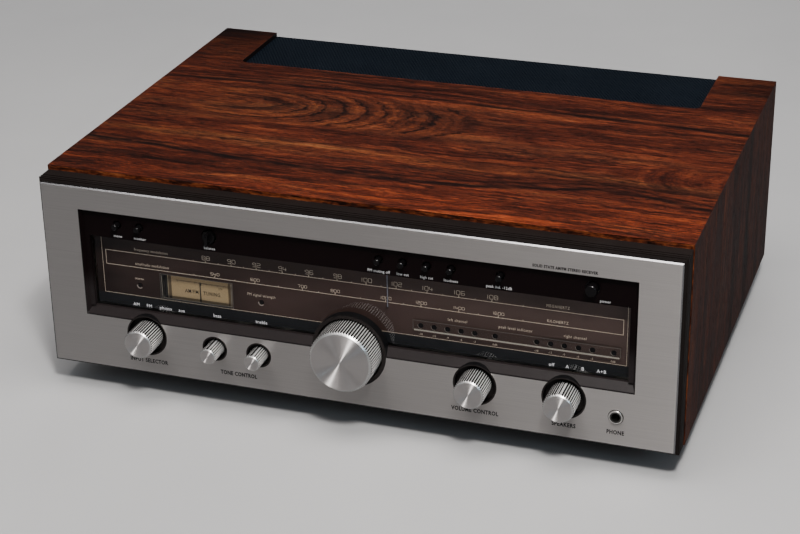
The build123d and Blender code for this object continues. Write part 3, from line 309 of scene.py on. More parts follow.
def rosewood(name, grain_axis, shade_tone, seed, specular, figured=False):
    """Rosewood veneer with its grain along 'x' or 'z'; figured adds the top board's arches."""
    mat = new_material(name)
    x, depth, height = mat.coords()
    if grain_axis == "x":
        along, across, other = x, depth, height
    else:
        along, across, other = height, depth, x

    # Wander of the grain, from slow to quick.
    slow = mat.noise((along * 0.0045, across * 0.013, other * 0.01 + seed),
                     detail=2, rough=0.5)
    medium = mat.noise((along * 0.020, across * 0.04, other * 0.01 + (seed + 7.0)),
                       detail=3, rough=0.6)
    quick = mat.noise((along * 0.085, across * 0.20, other * 0.01 + (seed + 8.0)),
                      detail=3, rough=0.65)
    wander = sway(slow, 30.0) + (sway(medium, 11.0) + sway(quick, 5.5))
    grain = across + wander
    layer = other * 0.02 + seed

    figures = []                # arch field, mask, shift of the noise layer
    if figured:
        # Nested arches that point right, and a smaller figure near the right end that points left.
        taper = mat.smooth(along, -185.0, 60.0, 0.0, 1.0) * 78.0
        arch = nested_arches(mat, along, across, wander, quick, LEFT_ARCH_DEPTH, taper, jag=7.0)
        inside = mat.smooth(abs(across - LEFT_ARCH_DEPTH), 26.0, 44.0, 1.0, 0.0) * (
            mat.smooth(along, -215.0, -165.0) * mat.smooth(along, 5.0, 75.0, 1.0, 0.0))
        figures.append((arch, inside, 0.5))
        taper = mat.smooth(along, 120.0, 290.0, 1.0, 0.0) * 60.0
        small_arch = nested_arches(mat, along, across, wander, quick, RIGHT_ARCH_DEPTH, taper,
                                   jag=6.0)
        small_inside = (mat.smooth(abs(across - RIGHT_ARCH_DEPTH), 14.0, 26.0, 1.0, 0.0)
                        * mat.smooth(along, 165.0, 195.0))
        figures.append((small_arch, small_inside, 0.8))

    def layered(line, stretch, pitch, shift, detail, rough):
        """Noise stretched along the grain, with its pitch across it."""
        return mat.noise((along * stretch, line * pitch, layer + shift),
                         detail=detail, rough=rough)

    def drawn(stretch, pitch, shift, detail, rough):
        """Layered noise that follows the arches inside the figures."""
        result = layered(grain, stretch, pitch, shift, detail, rough)
        for field, mask, extra in figures:
            bent = layered(field, stretch, pitch, shift + extra, detail, rough)
            result = result * (1.0 - mask) + bent * mask
        return result

    bands = mat.noise((along * 0.0026, grain * 0.030, layer), detail=3, rough=0.6)
    streaks = drawn(0.0075, 0.17, shift=3.0, detail=4, rough=0.65)
    fine = drawn(0.020, 0.72, shift=5.0, detail=5, rough=0.80)
    fibre = layered(across, 0.050, 1.9, shift=9.0, detail=4, rough=0.7)
    strand = layered(grain, 0.024, 1.15, shift=10.0, detail=3, rough=0.65)
    mottle = layered(across, 0.030, 0.085, shift=11.0, detail=4, rough=0.65)
    flake = layered(across, 0.15, 0.75, shift=13.0, detail=4, rough=0.8)
    blend = bands * 0.34 + (streaks * 0.42 + (fine * 0.42 + (
        mottle * 0.22 + (fibre * 0.24 + flake * 0.24))))
    colour = mat.ramp(mat.linear(blend, 0.79, 1.09), [
        (0.00, (0.010, 0.0036, 0.0028)), (0.16, (0.020, 0.0052, 0.0036)),
        (0.34, (0.042, 0.0092, 0.0052)), (0.52, (0.082, 0.0160, 0.0074)),
        (0.70, (0.138, 0.0275, 0.0106)), (0.86, (0.200, 0.0460, 0.0160)),
        (1.00, (0.260, 0.0720, 0.0250))])
    colour = mat.mix(mat.smooth(strand, 0.42, 0.33, 0.0, 0.72), colour, (0.014, 0.006, 0.005))
    hue = layered(grain, 0.006, 0.05, shift=17.0, detail=3, rough=0.6)
    colour = mat.tinted(mat.smooth(hue, 0.50, 0.66, 0.0, 0.55), colour, (1.0, 1.45, 1.5))

    # Near-black veins along the grain lines, broken and jagged.
    straight = layered(grain, 0.0034, 0.060, shift=21.0, detail=4, rough=0.6)
    bending = drawn(0.0080, 0.125, shift=33.0, detail=4, rough=0.6)
    width = 0.004 + mat.highest(mottle - 0.38, 0.0) * 0.085

    def vein(field, level, half_width, strength):
        return mat.smooth(abs(field - level), 0.0, half_width, strength, 0.0)

    veins = mat.highest(
        mat.highest(vein(straight, 0.5, width, 1.0), vein(bending, 0.47, width * 1.1, 1.0) * 0.85),
        mat.highest(vein(straight, 0.57, width * 0.8, 0.9), vein(bending, 0.60, width * 0.9, 0.8)))
    broken = mat.smooth(layered(across, 0.035, 0.20, shift=41.0, detail=3, rough=0.6), 0.40, 0.58)
    veins = veins * (0.12 + broken * 0.88)
    if figured:
        veins = arch_lines(mat, veins, arch, inside, along, across, mottle, flake, seed)
        veins = bold_streaks(mat, veins, along, across, broken, quick, seed)
        colour = top_board_tones(mat, colour, along, across, grain, inside)
    colour = mat.mix(veins * 0.96, colour, (0.0060, 0.0038, 0.0038))

    # Fibres and pores.
    colour = mat.multiply(colour, mat.ramp(fibre, [
        (0.25, (0.36, 0.33, 0.33)), (0.52, (0.98, 0.98, 0.98)), (0.8, (1.70, 1.63, 1.50))]))
    pore = mat.smooth(layered(across, 0.13, 2.1, shift=55.0, detail=2, rough=0.6), 0.57, 0.66)
    colour = mat.mix(pore * 0.74, colour, (0.010, 0.004, 0.0035))
    # Painted shade: a tone below 1 darkens the whole board.
    colour = mat.multiply(colour, (shade_tone, shade_tone, shade_tone))

    # Front edges are lipped with plain orange-brown wood.
    normal_x, normal_y, _ = mat.normal()
    front_edge = mat.smooth(normal_y * -1.0, 0.80, 0.95)
    coarse_lip = mat.noise((along * 0.055, across * 0.5, other * 0.5), detail=5, rough=0.72)
    fine_lip = mat.noise((along * 0.22, across * 1.0, other * 0.6), detail=3, rough=0.6)
    lip = mat.ramp(coarse_lip * 0.62 + fine_lip * 0.38, [
        (0.40, (0.008, 0.004, 0.003)), (0.47, (0.040, 0.010, 0.005)),
        (0.55, (0.13, 0.030, 0.010)), (0.68, (0.28, 0.085, 0.028))])
    colour = mat.mix(front_edge, colour, mat.multiply(lip, (max(shade_tone, 0.8),) * 3))

    # The walls of the notch round the grille are darkened to near black.
    side_walls = (mat.smooth(abs(normal_x), 0.25, 0.5)
                  * mat.smooth(abs(x), 225.0, 215.0, 0.0, 1.0))
    front_wall = (mat.smooth(normal_y, 0.5, 0.8)
                  * mat.smooth(depth, 300.0, 320.0, 1.0, 0.0))
    colour = mat.mix(mat.highest(side_walls, front_wall), colour, (0.008, 0.006, 0.006))

    relief = fibre * 0.35 - pore * 1.0
    rough = 0.40 + (sway(fibre, 0.14) + pore * 0.22)
    rough = rough + sway(mottle, 0.12)
    mat.principled(Base_Color=colour, Roughness=rough, Specular_IOR_Level=specular,
                   Normal=mat.bump(relief, strength=0.35, distance=0.00012))


# ---------------------------------------------------------------------------
# General materials
# ---------------------------------------------------------------------------
def satin(name, base, rough, metallic=0.0, grain=0.9, bump=0.12, vary=0.25, coat=0.0,
          specular=0.5, streak=None):
    """Satin surface with mottled colour and gloss.

    grain is the fine noise's scale per millimetre; streak gives it for x, depth and height
    instead. vary is the strength of the mottling.
    """
    mat = new_material(name)
    x, depth, height = mat.coords()
    position = mat.vector(x, depth, height)
    big = mat.noise(position, scale=0.02, detail=3, rough=0.6)
    if streak is None:
        fine = mat.noise(position, scale=grain, detail=3, rough=0.65)
    else:
        fine = mat.noise((x * streak[0], depth * streak[1], height * streak[2]),
                         detail=3, rough=0.6)
    mottle = sway(big, vary * 1.6) + sway(fine, vary)
    dark = tuple(c * 0.45 for c in base)
    light = tuple(min(1.0, c * 1.5 + 0.004) for c in base)
    colour = mat.ramp(0.5 + mottle, [(0.0, dark), (0.5, base), (1.0, light)])
    rough = rough + (sway(fine, 0.25) + sway(big, 0.18))
    mat.principled(Base_Color=colour, Roughness=mat.highest(rough, 0.04), Metallic=metallic,
                   Normal=mat.bump(fine, strength=bump, distance=0.0002),
                   Coat_Weight=coat, Coat_Roughness=0.25, Specular_IOR_Level=specular)


def metal(name, base, rough, vary, streak=None, grain=2.5):
    satin(name, base, rough, metallic=1.0, grain=grain, bump=0.05, vary=vary, streak=streak)


def ink(name, colour, painted_glow=0.0, rough=0.5, specular=0.5):
    """Printed ink or plain moulding, with an emitted painted glow if one is given."""
    mat = new_material(name)
    speckle = mat.noise(mat.coords_vector(), scale=1.2, detail=2, rough=0.5)
    low = tuple(c * 0.86 for c in colour)
    shade = mat.ramp(speckle, [(0.3, low), (0.6, colour)])
    emission = {"Emission_Color": shade, "Emission_Strength": painted_glow} if painted_glow else {}
    mat.principled(Base_Color=shade, Roughness=rough + sway(speckle, 0.2),
                   Specular_IOR_Level=specular, **emission)


def coords_vector(nodes):
    """The receiver's coordinates as one vector."""
    return nodes.vector(*nodes.coords())


Nodes.coords_vector = coords_vector


def clear_sheet(name, tint, rough, haze=0.0, edge_shine=0.0, ior=1.49,
                haze_colour=(0.75, 0.75, 0.77)):
    """Thin clear sheet that mirrors on its outer surface; edge_shine is the share on the edges."""
    mat = new_material(name)
    x, depth, height = mat.coords()
    fresnel = mat.value("ShaderNodeFresnel", {"IOR": ior})
    smudge = mat.noise((x * 0.03, depth, height * 0.05), detail=4, rough=0.65)
    through = mat.value("ShaderNodeBsdfTransparent", {0: tint})
    mirror = mat.value("ShaderNodeBsdfGlossy", {
        "Color": (0.96, 0.97, 1.0),
        "Roughness": mat.linear(smudge, 0.45, 0.75, rough, rough * 1.5 + 0.002)})
    geometry = mat.node("ShaderNodeNewGeometry").outputs
    normal_y = mat.split(Value(mat, geometry["Normal"]))[1]
    outer = ((1.0 - Value(mat, geometry["Backfacing"]))
             * mat.smooth(normal_y, -0.95, -0.8, 1.0, edge_shine))
    surface = mat.value("ShaderNodeMixShader", {0: fresnel * outer, 1: through, 2: mirror})
    if haze > 0:
        film = mat.value("ShaderNodeBsdfDiffuse", {"Color": haze_colour})
        amount = mat.linear(smudge, 0.35, 0.8, haze * 0.5, haze)
        surface = mat.value("ShaderNodeMixShader", {0: amount, 1: surface, 2: film})
    mat.output(surface)


# ---------------------------------------------------------------------------
# Materials of single pieces
# ---------------------------------------------------------------------------
def brushed_plate():
    """Aluminium brushed along x, with bright cut edges."""
    mat = new_material("brushed_aluminium_plate")
    x, depth, height = mat.coords()
    lines = mat.noise((x * 0.004, depth * 2.0, height * 5.5), detail=4, rough=0.75)
    broad = mat.noise((x * 0.02, depth * 1.0, height * 1.6), detail=3, rough=0.6)
    blotch = mat.noise((x * 0.006, 0.0, height * 0.012), detail=3, rough=0.5)
    brushing = lines * 0.6 + broad * 0.4
    colour = mat.ramp(brushing, [
        (0.25, (0.63, 0.60, 0.584)), (0.5, (0.725, 0.692, 0.673)), (0.75, (0.82, 0.785, 0.765))])
    face = mat.smooth(mat.normal()[1] * -1.0, 0.85, 0.98)
    colour = mat.mix(face, (0.52, 0.52, 0.535), colour)
    rough = face * 0.20 + (0.22 + (sway(brushing, 0.13) + sway(blotch, 0.06)))
    mat.principled(Base_Color=colour, Roughness=rough, Metallic=1.0, Anisotropic=face * 0.88,
                   Anisotropic_Rotation=0.25, Tangent=mat.tangent("Z"),
                   Normal=mat.bump(lines, strength=0.11, distance=0.00006))


def spun_face():
    """Turned face of a knob; the object's own Y axis is the knob's axis."""
    mat = new_material("spun_knob_face")
    x, _, z = mat.split(mat.value("ShaderNodeTexCoord", output="Object"))
    radius = mat.math("SQRT", x * x + z * z)
    angle = mat.math("ARCTAN2", z, x)
    rings = mat.noise((radius * 5200.0, angle * 0.35, 0.0), detail=3, rough=0.7)
    spokes = mat.noise((mat.math("COSINE", angle) * 3.2, mat.math("SINE", angle) * 3.2, 4.0),
                       detail=3, rough=0.5)
    colour = mat.ramp(rings * 0.55 + spokes * 0.45, [
        (0.25, (0.91, 0.865, 0.845)), (0.5, (0.98, 0.935, 0.915)), (0.8, (1.0, 0.965, 0.95))])
    rough = 0.415 + (sway(rings, 0.12) + sway(spokes, 0.06))
    mat.principled(Base_Color=colour, Roughness=rough, Metallic=1.0, Anisotropic=1.0,
                   Anisotropic_Rotation=0.25, Tangent=mat.tangent("Y"),
                   Normal=mat.bump(rings, strength=0.10, distance=0.00003))


def dial_plate():
    """Dark brown-grey dial with a painted sheen to the right and a blue-black band along the
    bottom.
    """
    mat = new_material("dial_plate_dark")
    x, depth, height = mat.coords()
    cloud = mat.noise((x * 0.012, 0.0, height * 0.03), detail=2, rough=0.5)
    grain = mat.noise((x, depth, height), scale=1.4, detail=2, rough=0.5)
    # Painted sheen: lighter towards the right.
    shade = mat.linear(x, -200.0, 200.0, 0.30, 0.62) + (sway(cloud, 0.35) + sway(grain, 0.05))
    colour = mat.ramp(shade, [
        (0.0, (0.009, 0.0050, 0.0042)), (0.25, (0.013, 0.0070, 0.0058)),
        (0.45, (0.050, 0.0300, 0.0262)), (0.62, (0.070, 0.0465, 0.0412)),
        (1.0, (0.100, 0.0670, 0.0600))])
    bottom_band = mat.smooth(height, 55.8, 56.4, 1.0, 0.0)
    colour = mat.mix(bottom_band, colour, (0.0105, 0.0122, 0.0150))
    mat.principled(Base_Color=colour, Roughness=0.48 + sway(cloud, 0.15),
                   Specular_IOR_Level=0.15,
                   Normal=mat.bump(grain, strength=0.02, distance=0.00005))


def window_surround():
    """Satin black: deep along the top strip, with painted light greying the sloping ledge below.
    """
    mat = new_material("black_surround")
    x, depth, height = mat.coords()
    fine = mat.noise((x, depth, height), scale=0.9, detail=3, rough=0.6)
    big = mat.noise((x, depth, height), scale=0.02, detail=3, rough=0.6)
    # Painted light: the upward-facing ledge is greyer.
    low = mat.smooth(height, 80.0, 60.0, 0.0, 1.0)
    colour = mat.mix(low, (0.0046, 0.0022, 0.0025), (0.0150, 0.0112, 0.0115))
    colour = mat.multiply(colour, mat.ramp(fine * 0.5 + big * 0.5, [
        (0.3, (0.8, 0.8, 0.8)), (0.7, (1.25, 1.25, 1.25))]))
    mat.principled(Base_Color=colour, Roughness=0.36 + sway(fine, 0.2),
                   Specular_IOR_Level=0.09 + low * 0.16,
                   Normal=mat.bump(fine, strength=0.08, distance=0.0002))


def knob_well():
    """Black cups behind the knob holes: deep black bore, with a painted highlight greying the lip
    in front.
    """
    mat = new_material("black_well")
    fine = mat.noise(mat.coords_vector(), scale=0.9, detail=3, rough=0.6)
    # Painted highlight on the front-facing lip.
    lip = mat.smooth(mat.normal()[1] * -1.0, 0.7, 0.95)
    colour = mat.mix(lip, (0.0045, 0.0045, 0.0050), (0.0150, 0.0118, 0.0112))
    colour = mat.multiply(colour, mat.ramp(fine, [
        (0.3, (0.75, 0.75, 0.75)), (0.7, (1.25, 1.25, 1.25))]))
    mat.principled(Base_Color=colour, Roughness=0.40 + sway(fine, 0.2),
                   Specular_IOR_Level=0.12 + lip * 0.10,
                   Normal=mat.bump(fine, strength=0.10, distance=0.0002))


def pointer_blade():
    """Dark blade with a thin pale line down its middle."""
    middle_x = 26.5
    mat = new_material("pointer_blade")
    x, depth, height = mat.coords()
    speckle = mat.noise((x, depth, height), detail=2, rough=0.5)
    line = mat.smooth(abs(x - middle_x), 0.18, 0.34, 1.0, 0.0)
    pale = mat.mix(speckle, (0.22, 0.235, 0.30), (0.27, 0.285, 0.35))
    mat.principled(Base_Color=mat.mix(line, (0.024, 0.018, 0.017), pale),
                   Roughness=0.35 + speckle * 0.1, Specular_IOR_Level=0.15)


def meter_card():
    """Tan meter card: faint painted glow, painted shade at top and right end, upright bands at its
    left end.
    """
    mat = new_material("meter_card")
    x, depth, height = mat.coords()
    speckle = mat.noise((x, depth, height), scale=0.5, detail=3, rough=0.6)
    # Painted shade: darker towards the top.
    shade = mat.linear(height, 58.0, 76.0, 0.62, 0.45) + sway(speckle, 0.2)
    colour = mat.ramp(shade, [
        (0.0, (0.30, 0.21, 0.105)), (0.5, (0.45, 0.335, 0.185)), (1.0, (0.60, 0.48, 0.30))])
    # Painted shade at the right end, by the frame.
    right_end_shade = mat.smooth(x, -101.6, -101.0)
    colour = mat.tinted(right_end_shade, colour, (0.34, 0.32, 0.30))
    # Each band covers all to its left: x from, x to, colour.
    for start, end, band in ((-147.4, -147.1, (0.11, 0.075, 0.040)),
                             (-149.9, -149.6, (0.34, 0.29, 0.19)),
                             (-150.5, -150.2, (0.006, 0.006, 0.007))):
        colour = mat.mix(mat.smooth(x, start, end, 1.0, 0.0), colour, band)
    # The faint emission is a painted glow.
    mat.principled(Base_Color=colour, Roughness=0.6 + sway(speckle, 0.2),
                   Emission_Color=colour, Emission_Strength=0.10)


def make_materials():
    rosewood("rosewood_top", "x", shade_tone=1.0, seed=3.1, specular=0.17, figured=True)
    # Both side boards are darkened to 0.58 as painted shade.
    rosewood("rosewood_left", "z", shade_tone=0.58, seed=17.3, specular=0.06)
    rosewood("rosewood_right", "z", shade_tone=0.58, seed=29.9, specular=0.06)
    brushed_plate()
    spun_face()
    satin("knurled_aluminium", (0.96, 0.95, 0.935), rough=0.29, metallic=0.52, bump=0.05,
          vary=0.06, streak=(1.5, 0.05, 1.5))
    # Near-black copy of the knurl's aluminium, painted as shade in the knurl's grooves.
    satin("knurl_groove_painted_shade", (0.012, 0.0115, 0.011), rough=0.45, grain=2.5, bump=0.05, vary=0.20,
          specular=0.12)
    satin("polished_chamfer", (0.82, 0.81, 0.80), rough=0.30, metallic=0.9, grain=2.5,
          bump=0.04, vary=0.06)
    satin("black_bezel", (0.0125, 0.0095, 0.0088), rough=0.50, grain=0.7, bump=0.10, vary=0.35,
          specular=0.09)
    window_surround()
    knob_well()
    satin("black_button", (0.004, 0.0036, 0.004), rough=0.18, grain=2.5, bump=0.04, vary=0.3,
          specular=0.18)
    clear_sheet("dial_glass_clear", (0.94, 0.93, 0.92), rough=0.0, ior=1.90)
    clear_sheet("meter_clear", (0.95, 0.95, 0.94), rough=0.02, edge_shine=0.35)
    clear_sheet("strip_clear", (0.92, 0.90, 0.88), rough=0.012, haze=0.008, ior=1.35,
                haze_colour=(0.80, 0.68, 0.60))
    dial_plate()
    ink("cream_print", (0.62, 0.54, 0.44), painted_glow=0.16)
    ink("painted_edge_highlight", (0.36, 0.34, 0.30), painted_glow=0.05, rough=0.3)
    ink("dial_lamp_rim_highlight", (0.30, 0.26, 0.235), rough=0.35)
    ink("socket_ring", (0.34, 0.33, 0.315), rough=0.3)
    ink("lamp_crescent_highlight", (0.17, 0.15, 0.135), rough=0.35)
    ink("white_print", (0.80, 0.80, 0.83), painted_glow=0.16)
    ink("grey_print", (0.60, 0.59, 0.60), painted_glow=0.10)
    ink("socket_grey", (0.030, 0.029, 0.028), rough=0.4)
    ink("lamp_dark", (0.0020, 0.0020, 0.0026), rough=0.7, specular=0.03)
    ink("frame_line", (0.10, 0.092, 0.085), rough=0.35)
    ink("frame_lit", (0.26, 0.245, 0.215), rough=0.3)
    ink("black_print", (0.006, 0.006, 0.007), rough=0.55, specular=0.08)
    pointer_blade()
    meter_card()
    satin("needle_black", (0.050, 0.040, 0.028), rough=0.5, grain=1.5, bump=0.05, vary=0.2)
    satin("led_dark", (0.004, 0.003, 0.003), rough=0.40, bump=0.03, vary=0.2, specular=0.12)
    metal("nickel", (0.42, 0.405, 0.38), rough=0.34, vary=0.15)
    metal("ground_steel", (0.56, 0.56, 0.55), rough=0.30, vary=0.15, streak=(0.05, 2.0, 2.0))
    metal("brass_part", (0.72, 0.52, 0.22), rough=0.30, vary=0.2)
    metal("capacitor_metal", (0.66, 0.67, 0.66), rough=0.34, vary=0.15)
    satin("nylon_moulding", (0.62, 0.59, 0.50), rough=0.5, grain=0.4, bump=0.1, vary=0.12)
    satin("dial_cord_thread", (0.45, 0.40, 0.30), rough=0.8, grain=3.5, bump=0.5, vary=0.4)
    clear_sheet("lamp_glass", (0.9, 0.88, 0.82), rough=0.02, haze=0.08)
    satin("switch_body", (0.045, 0.045, 0.05), rough=0.45, grain=0.7, bump=0.1)
    satin("chassis_enamel", (0.014, 0.014, 0.015), rough=0.42, grain=0.25, bump=0.15,
          specular=0.3)
    satin("rear_enamel", (0.046, 0.046, 0.049), rough=0.50, grain=0.35, bump=0.25)
    metal("zinc_plate", (0.55, 0.55, 0.52), rough=0.38, vary=0.25, grain=0.12)
    satin("foot_rubber", (0.014, 0.014, 0.014), rough=0.75, grain=0.3, bump=0.25, vary=0.3)
    metal("screw_black", (0.16, 0.16, 0.165), rough=0.35, vary=0.2)
    satin("transformer_core", (0.055, 0.055, 0.06), rough=0.5, metallic=0.3, bump=0.2,
          vary=0.35, streak=(0.03, 0.03, 2.4))
    satin("sink_anodised", (0.020, 0.020, 0.022), rough=0.42, metallic=0.5,
          streak=(1.5, 1.5, 0.05))
    metal("transistor_can", (0.60, 0.59, 0.55), rough=0.30, vary=0.15)
    satin("capacitor_sleeve", (0.028, 0.055, 0.16), rough=0.30, grain=0.12, bump=0.05,
          vary=0.2, coat=0.3)
    satin("board_laminate", (0.30, 0.21, 0.08), rough=0.55, grain=0.09, bump=0.1, vary=0.3)
    satin("terminal_plastic", (0.020, 0.020, 0.021), rough=0.42, grain=0.7, vary=0.3)
    satin("ferrite_tube", (0.018, 0.018, 0.019), rough=0.38, grain=0.7, bump=0.10, vary=0.3)
    satin("mains_cord", (0.34, 0.34, 0.33), rough=0.5, grain=0.5, bump=0.10, vary=0.15)
    satin("grille_enamel", (0.0048, 0.0078, 0.0128), rough=0.42, bump=0.08, vary=0.3,
          specular=0.17)


# Material: the CAD pieces that wear it.
PIECES = {
    "brushed_aluminium_plate": "faceplate",
    "black_bezel": "bezel_frame",
    "black_surround": "window_surround",
    "black_well": "knob_wells",
    "dial_glass_clear": "dial_glass",
    "dial_plate_dark": "dial_plate",
    "strip_clear": "peak_strip",
    "led_dark": "indicator_leds",
    "lamp_glass": "dial_lamps",
    "meter_clear": "meter_housing",
    "meter_card": "meter_face",
    "needle_black": "meter_needle",
    "pointer_blade": "dial_pointer",
    "ground_steel": "pointer_rail tuning_spindle tuning_flywheel",
    "nylon_moulding": "dial_drum",
    "brass_part": "left_idler_pulley right_idler_pulley",
    "dial_cord_thread": "dial_cord",
    "capacitor_metal": "tuning_capacitor_frame tuning_capacitor_rotor",
    "black_button": "mono_button monitor_button fm_muting_button low_cut_button"
                    " high_cut_button loudness_button peak_indicator_button power_button"
                    " balance_knob",
    "switch_body": "push_switches control_pots",
    "nickel": "phone_jack rca_jacks",
    "rosewood_top": "cabinet_top",
    "rosewood_left": "cabinet_left_side",
    "rosewood_right": "cabinet_right_side",
    "grille_enamel": "vent_grille",
    "chassis_enamel": "chassis_tray",
    "zinc_plate": "front_subchassis",
    "rear_enamel": "rear_panel",
    "foot_rubber": "feet",
    "screw_black": "panel_screws",
    "transformer_core": "power_transformer",
    "sink_anodised": "heat_sink",
    "transistor_can": "output_transistors",
    "capacitor_sleeve": "filter_capacitors",
    "board_laminate": "circuit_boards",
    "terminal_plastic": "speaker_terminals antenna_terminals ac_outlets",
    "ferrite_tube": "ferrite_antenna",
    "mains_cord": "power_cord",
}

make_materials()
for material_name, piece_names in PIECES.items():
    for piece_name in piece_names.split():
        slots = CAD_NODES[piece_name].data.materials
        slots.clear()
        slots.append(MATERIALS[material_name])


# ---------------------------------------------------------------------------
# Mesh helpers
# ---------------------------------------------------------------------------
@contextmanager
def editing(mesh):
    """Opens a mesh as a bmesh and writes it back."""
    bm = bmesh.new()
    bm.from_mesh(mesh)
    yield bm
    bm.to_mesh(mesh)
    bm.free()


def link_object(name, data):
    obj = bpy.data.objects.new(name, data)
    bpy.context.scene.collection.objects.link(obj)
    return obj


def solid(name, verts, faces, materials, origin=Vector(), face_materials=()):
    """Closed, smooth-shaded object with crisp edges, whose own origin lies at `origin`."""
    mesh = bpy.data.meshes.new(name)
    obj = link_object(name, mesh)
    obj.location = origin
    mesh.from_pydata([tuple(v - origin) for v in verts], [], faces)
    for material in materials:
        mesh.materials.append(MATERIALS[material])
    if face_materials:
        mesh.polygons.foreach_set("material_index", face_materials)
    mesh.polygons.foreach_set("use_smooth", [True] * len(mesh.polygons))
    mesh.update()
    with editing(mesh) as bm:
        bmesh.ops.recalc_face_normals(bm, faces=bm.faces)
    mesh.set_sharp_from_angle(angle=math.radians(22.0))
    return obj


# ---------------------------------------------------------------------------
# Knobs
# ---------------------------------------------------------------------------
# Depths: tip is the front face and back the rear edge; cut is the depth of the knurling.
LARGE = dict(radius=11.25, tip=-16.5, back=4.6, flutes=38, cut=0.62, chamfer=1.15)
SMALL = dict(radius=6.25, tip=-14.0, back=4.6, flutes=24, cut=0.48, chamfer=0.75)
TUNING = dict(radius=24.0, tip=-19.0, back=5.0, flutes=74, cut=0.70, chamfer=1.7, hollow=True)

# Body it turns with, object, CAD piece, x, height, sizes, angle of the index line in degrees
# clockwise from the top.
KNOBS = (
    ("selector", "selector_knob_turned", "input_selector_knob", -161.0, 31.4, LARGE, -28.0),
    ("volume", "volume_knob_turned", "volume_knob", 94.6, 31.4, LARGE, -150.0),
    ("speakers", "speaker_knob_turned", "speaker_knob", 159.6, 31.4, LARGE, 0.0),
    ("bass", "bass_knob_turned", "bass_knob", -106.0, 29.0, SMALL, 0.0),
    ("treble", "treble_knob_turned", "treble_knob", -71.0, 29.0, SMALL, 0.0),
    ("tuning", "tuning_knob_turned", "tuning_knob", 0.0, 43.5, TUNING, None),
)

FLUTE_WAVE = (0.0, 0.03, 0.40, 0.86, 1.0, 0.86, 0.40, 0.03)     # share of the cut over one flute
# The steps listed next are painted near black as shade, leaning to one slope as if lit from one
# side.
FLUTE_SHADED_STEPS = (1, 2, 3, 4, 5)       # steps of the wave in the dark groove material
INDEX_HALF_ANGLE = 6.0              # degrees of shallow knurling each side of the index line
INDEX_CUT = 0.30                    # share of the cut there
SHAFT_RADIUS = 3.0
SHAFT_END = 50.0
HUB_RADIUS = 8.0
HOLLOW_WALL = 2.4
FACE, CHAFER_EDGE, KNURL, GROOVE_SHADE = range(4)                     # slots of KNOB_MATERIALS
KNOB_MATERIALS = ("spun_knob_face", "polished_chamfer", "knurled_aluminium", "knurl_groove_painted_shade")


def knob_rings(radius, tip, back, chamfer, hollow):
    """Rings from the face to the shaft: depth, radius, whether knurled, material."""
    face_radius = radius - chamfer
    rings = [(tip + 0.10 * (1 - share) ** 2, face_radius * share, False, FACE)
             for share in (0.12, 0.3, 0.5, 0.7, 0.88, 0.985)]
    rings.append((tip + 0.02, face_radius, False, CHAFER_EDGE))
    rings.append((tip + 0.10, face_radius + 0.10, False, CHAFER_EDGE))
    rings += [(tip + chamfer * share, face_radius + chamfer * share, True, CHAFER_EDGE)
              for share in (0.35, 0.55, 0.75, 0.9, 1.0)]
    rings += [
        (tip + chamfer + 0.6, radius, True, KNURL),
        ((tip + back) / 2, radius, True, KNURL),
        (back - 0.5, radius, True, KNURL),
        (back, radius - 0.5, True, KNURL),
    ]
    if hollow:
        inner_radius = radius - HOLLOW_WALL
        inner = ((back, inner_radius), (tip + 4.0, inner_radius), (tip + 4.0, HUB_RADIUS),
                 (back - 1.0, HUB_RADIUS), (back - 1.0, SHAFT_RADIUS))
    else:
        inner = ((back, SHAFT_RADIUS), (SHAFT_END, SHAFT_RADIUS))
    return rings + [(depth, ring_radius, False, KNURL) for depth, ring_radius in inner]


def index_line(name, body, x, height, angle, outer, start, end):
    """Black line inlaid along the knurling, just proud of the radius `outer`."""
    half_width = 0.5
    cos, sin = math.cos(math.radians(angle)), math.sin(math.radians(angle))
    low, high = outer - 0.2, outer + 0.05
    verts = []
    for depth in (start, end):
        for side, radius in ((-half_width, low), (-half_width, high),
                             (half_width, high), (half_width, low)):
            verts.append(place(x + radius * sin + side * cos, depth,
                               height + radius * cos - side * sin))
    faces = [(0, 1, 2, 3), (7, 6, 5, 4), (0, 4, 5, 1), (1, 5, 6, 2), (2, 6, 7, 3), (3, 7, 4, 0)]
    bar = solid(name, verts, faces, ["black_print"])
    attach(bar, body)


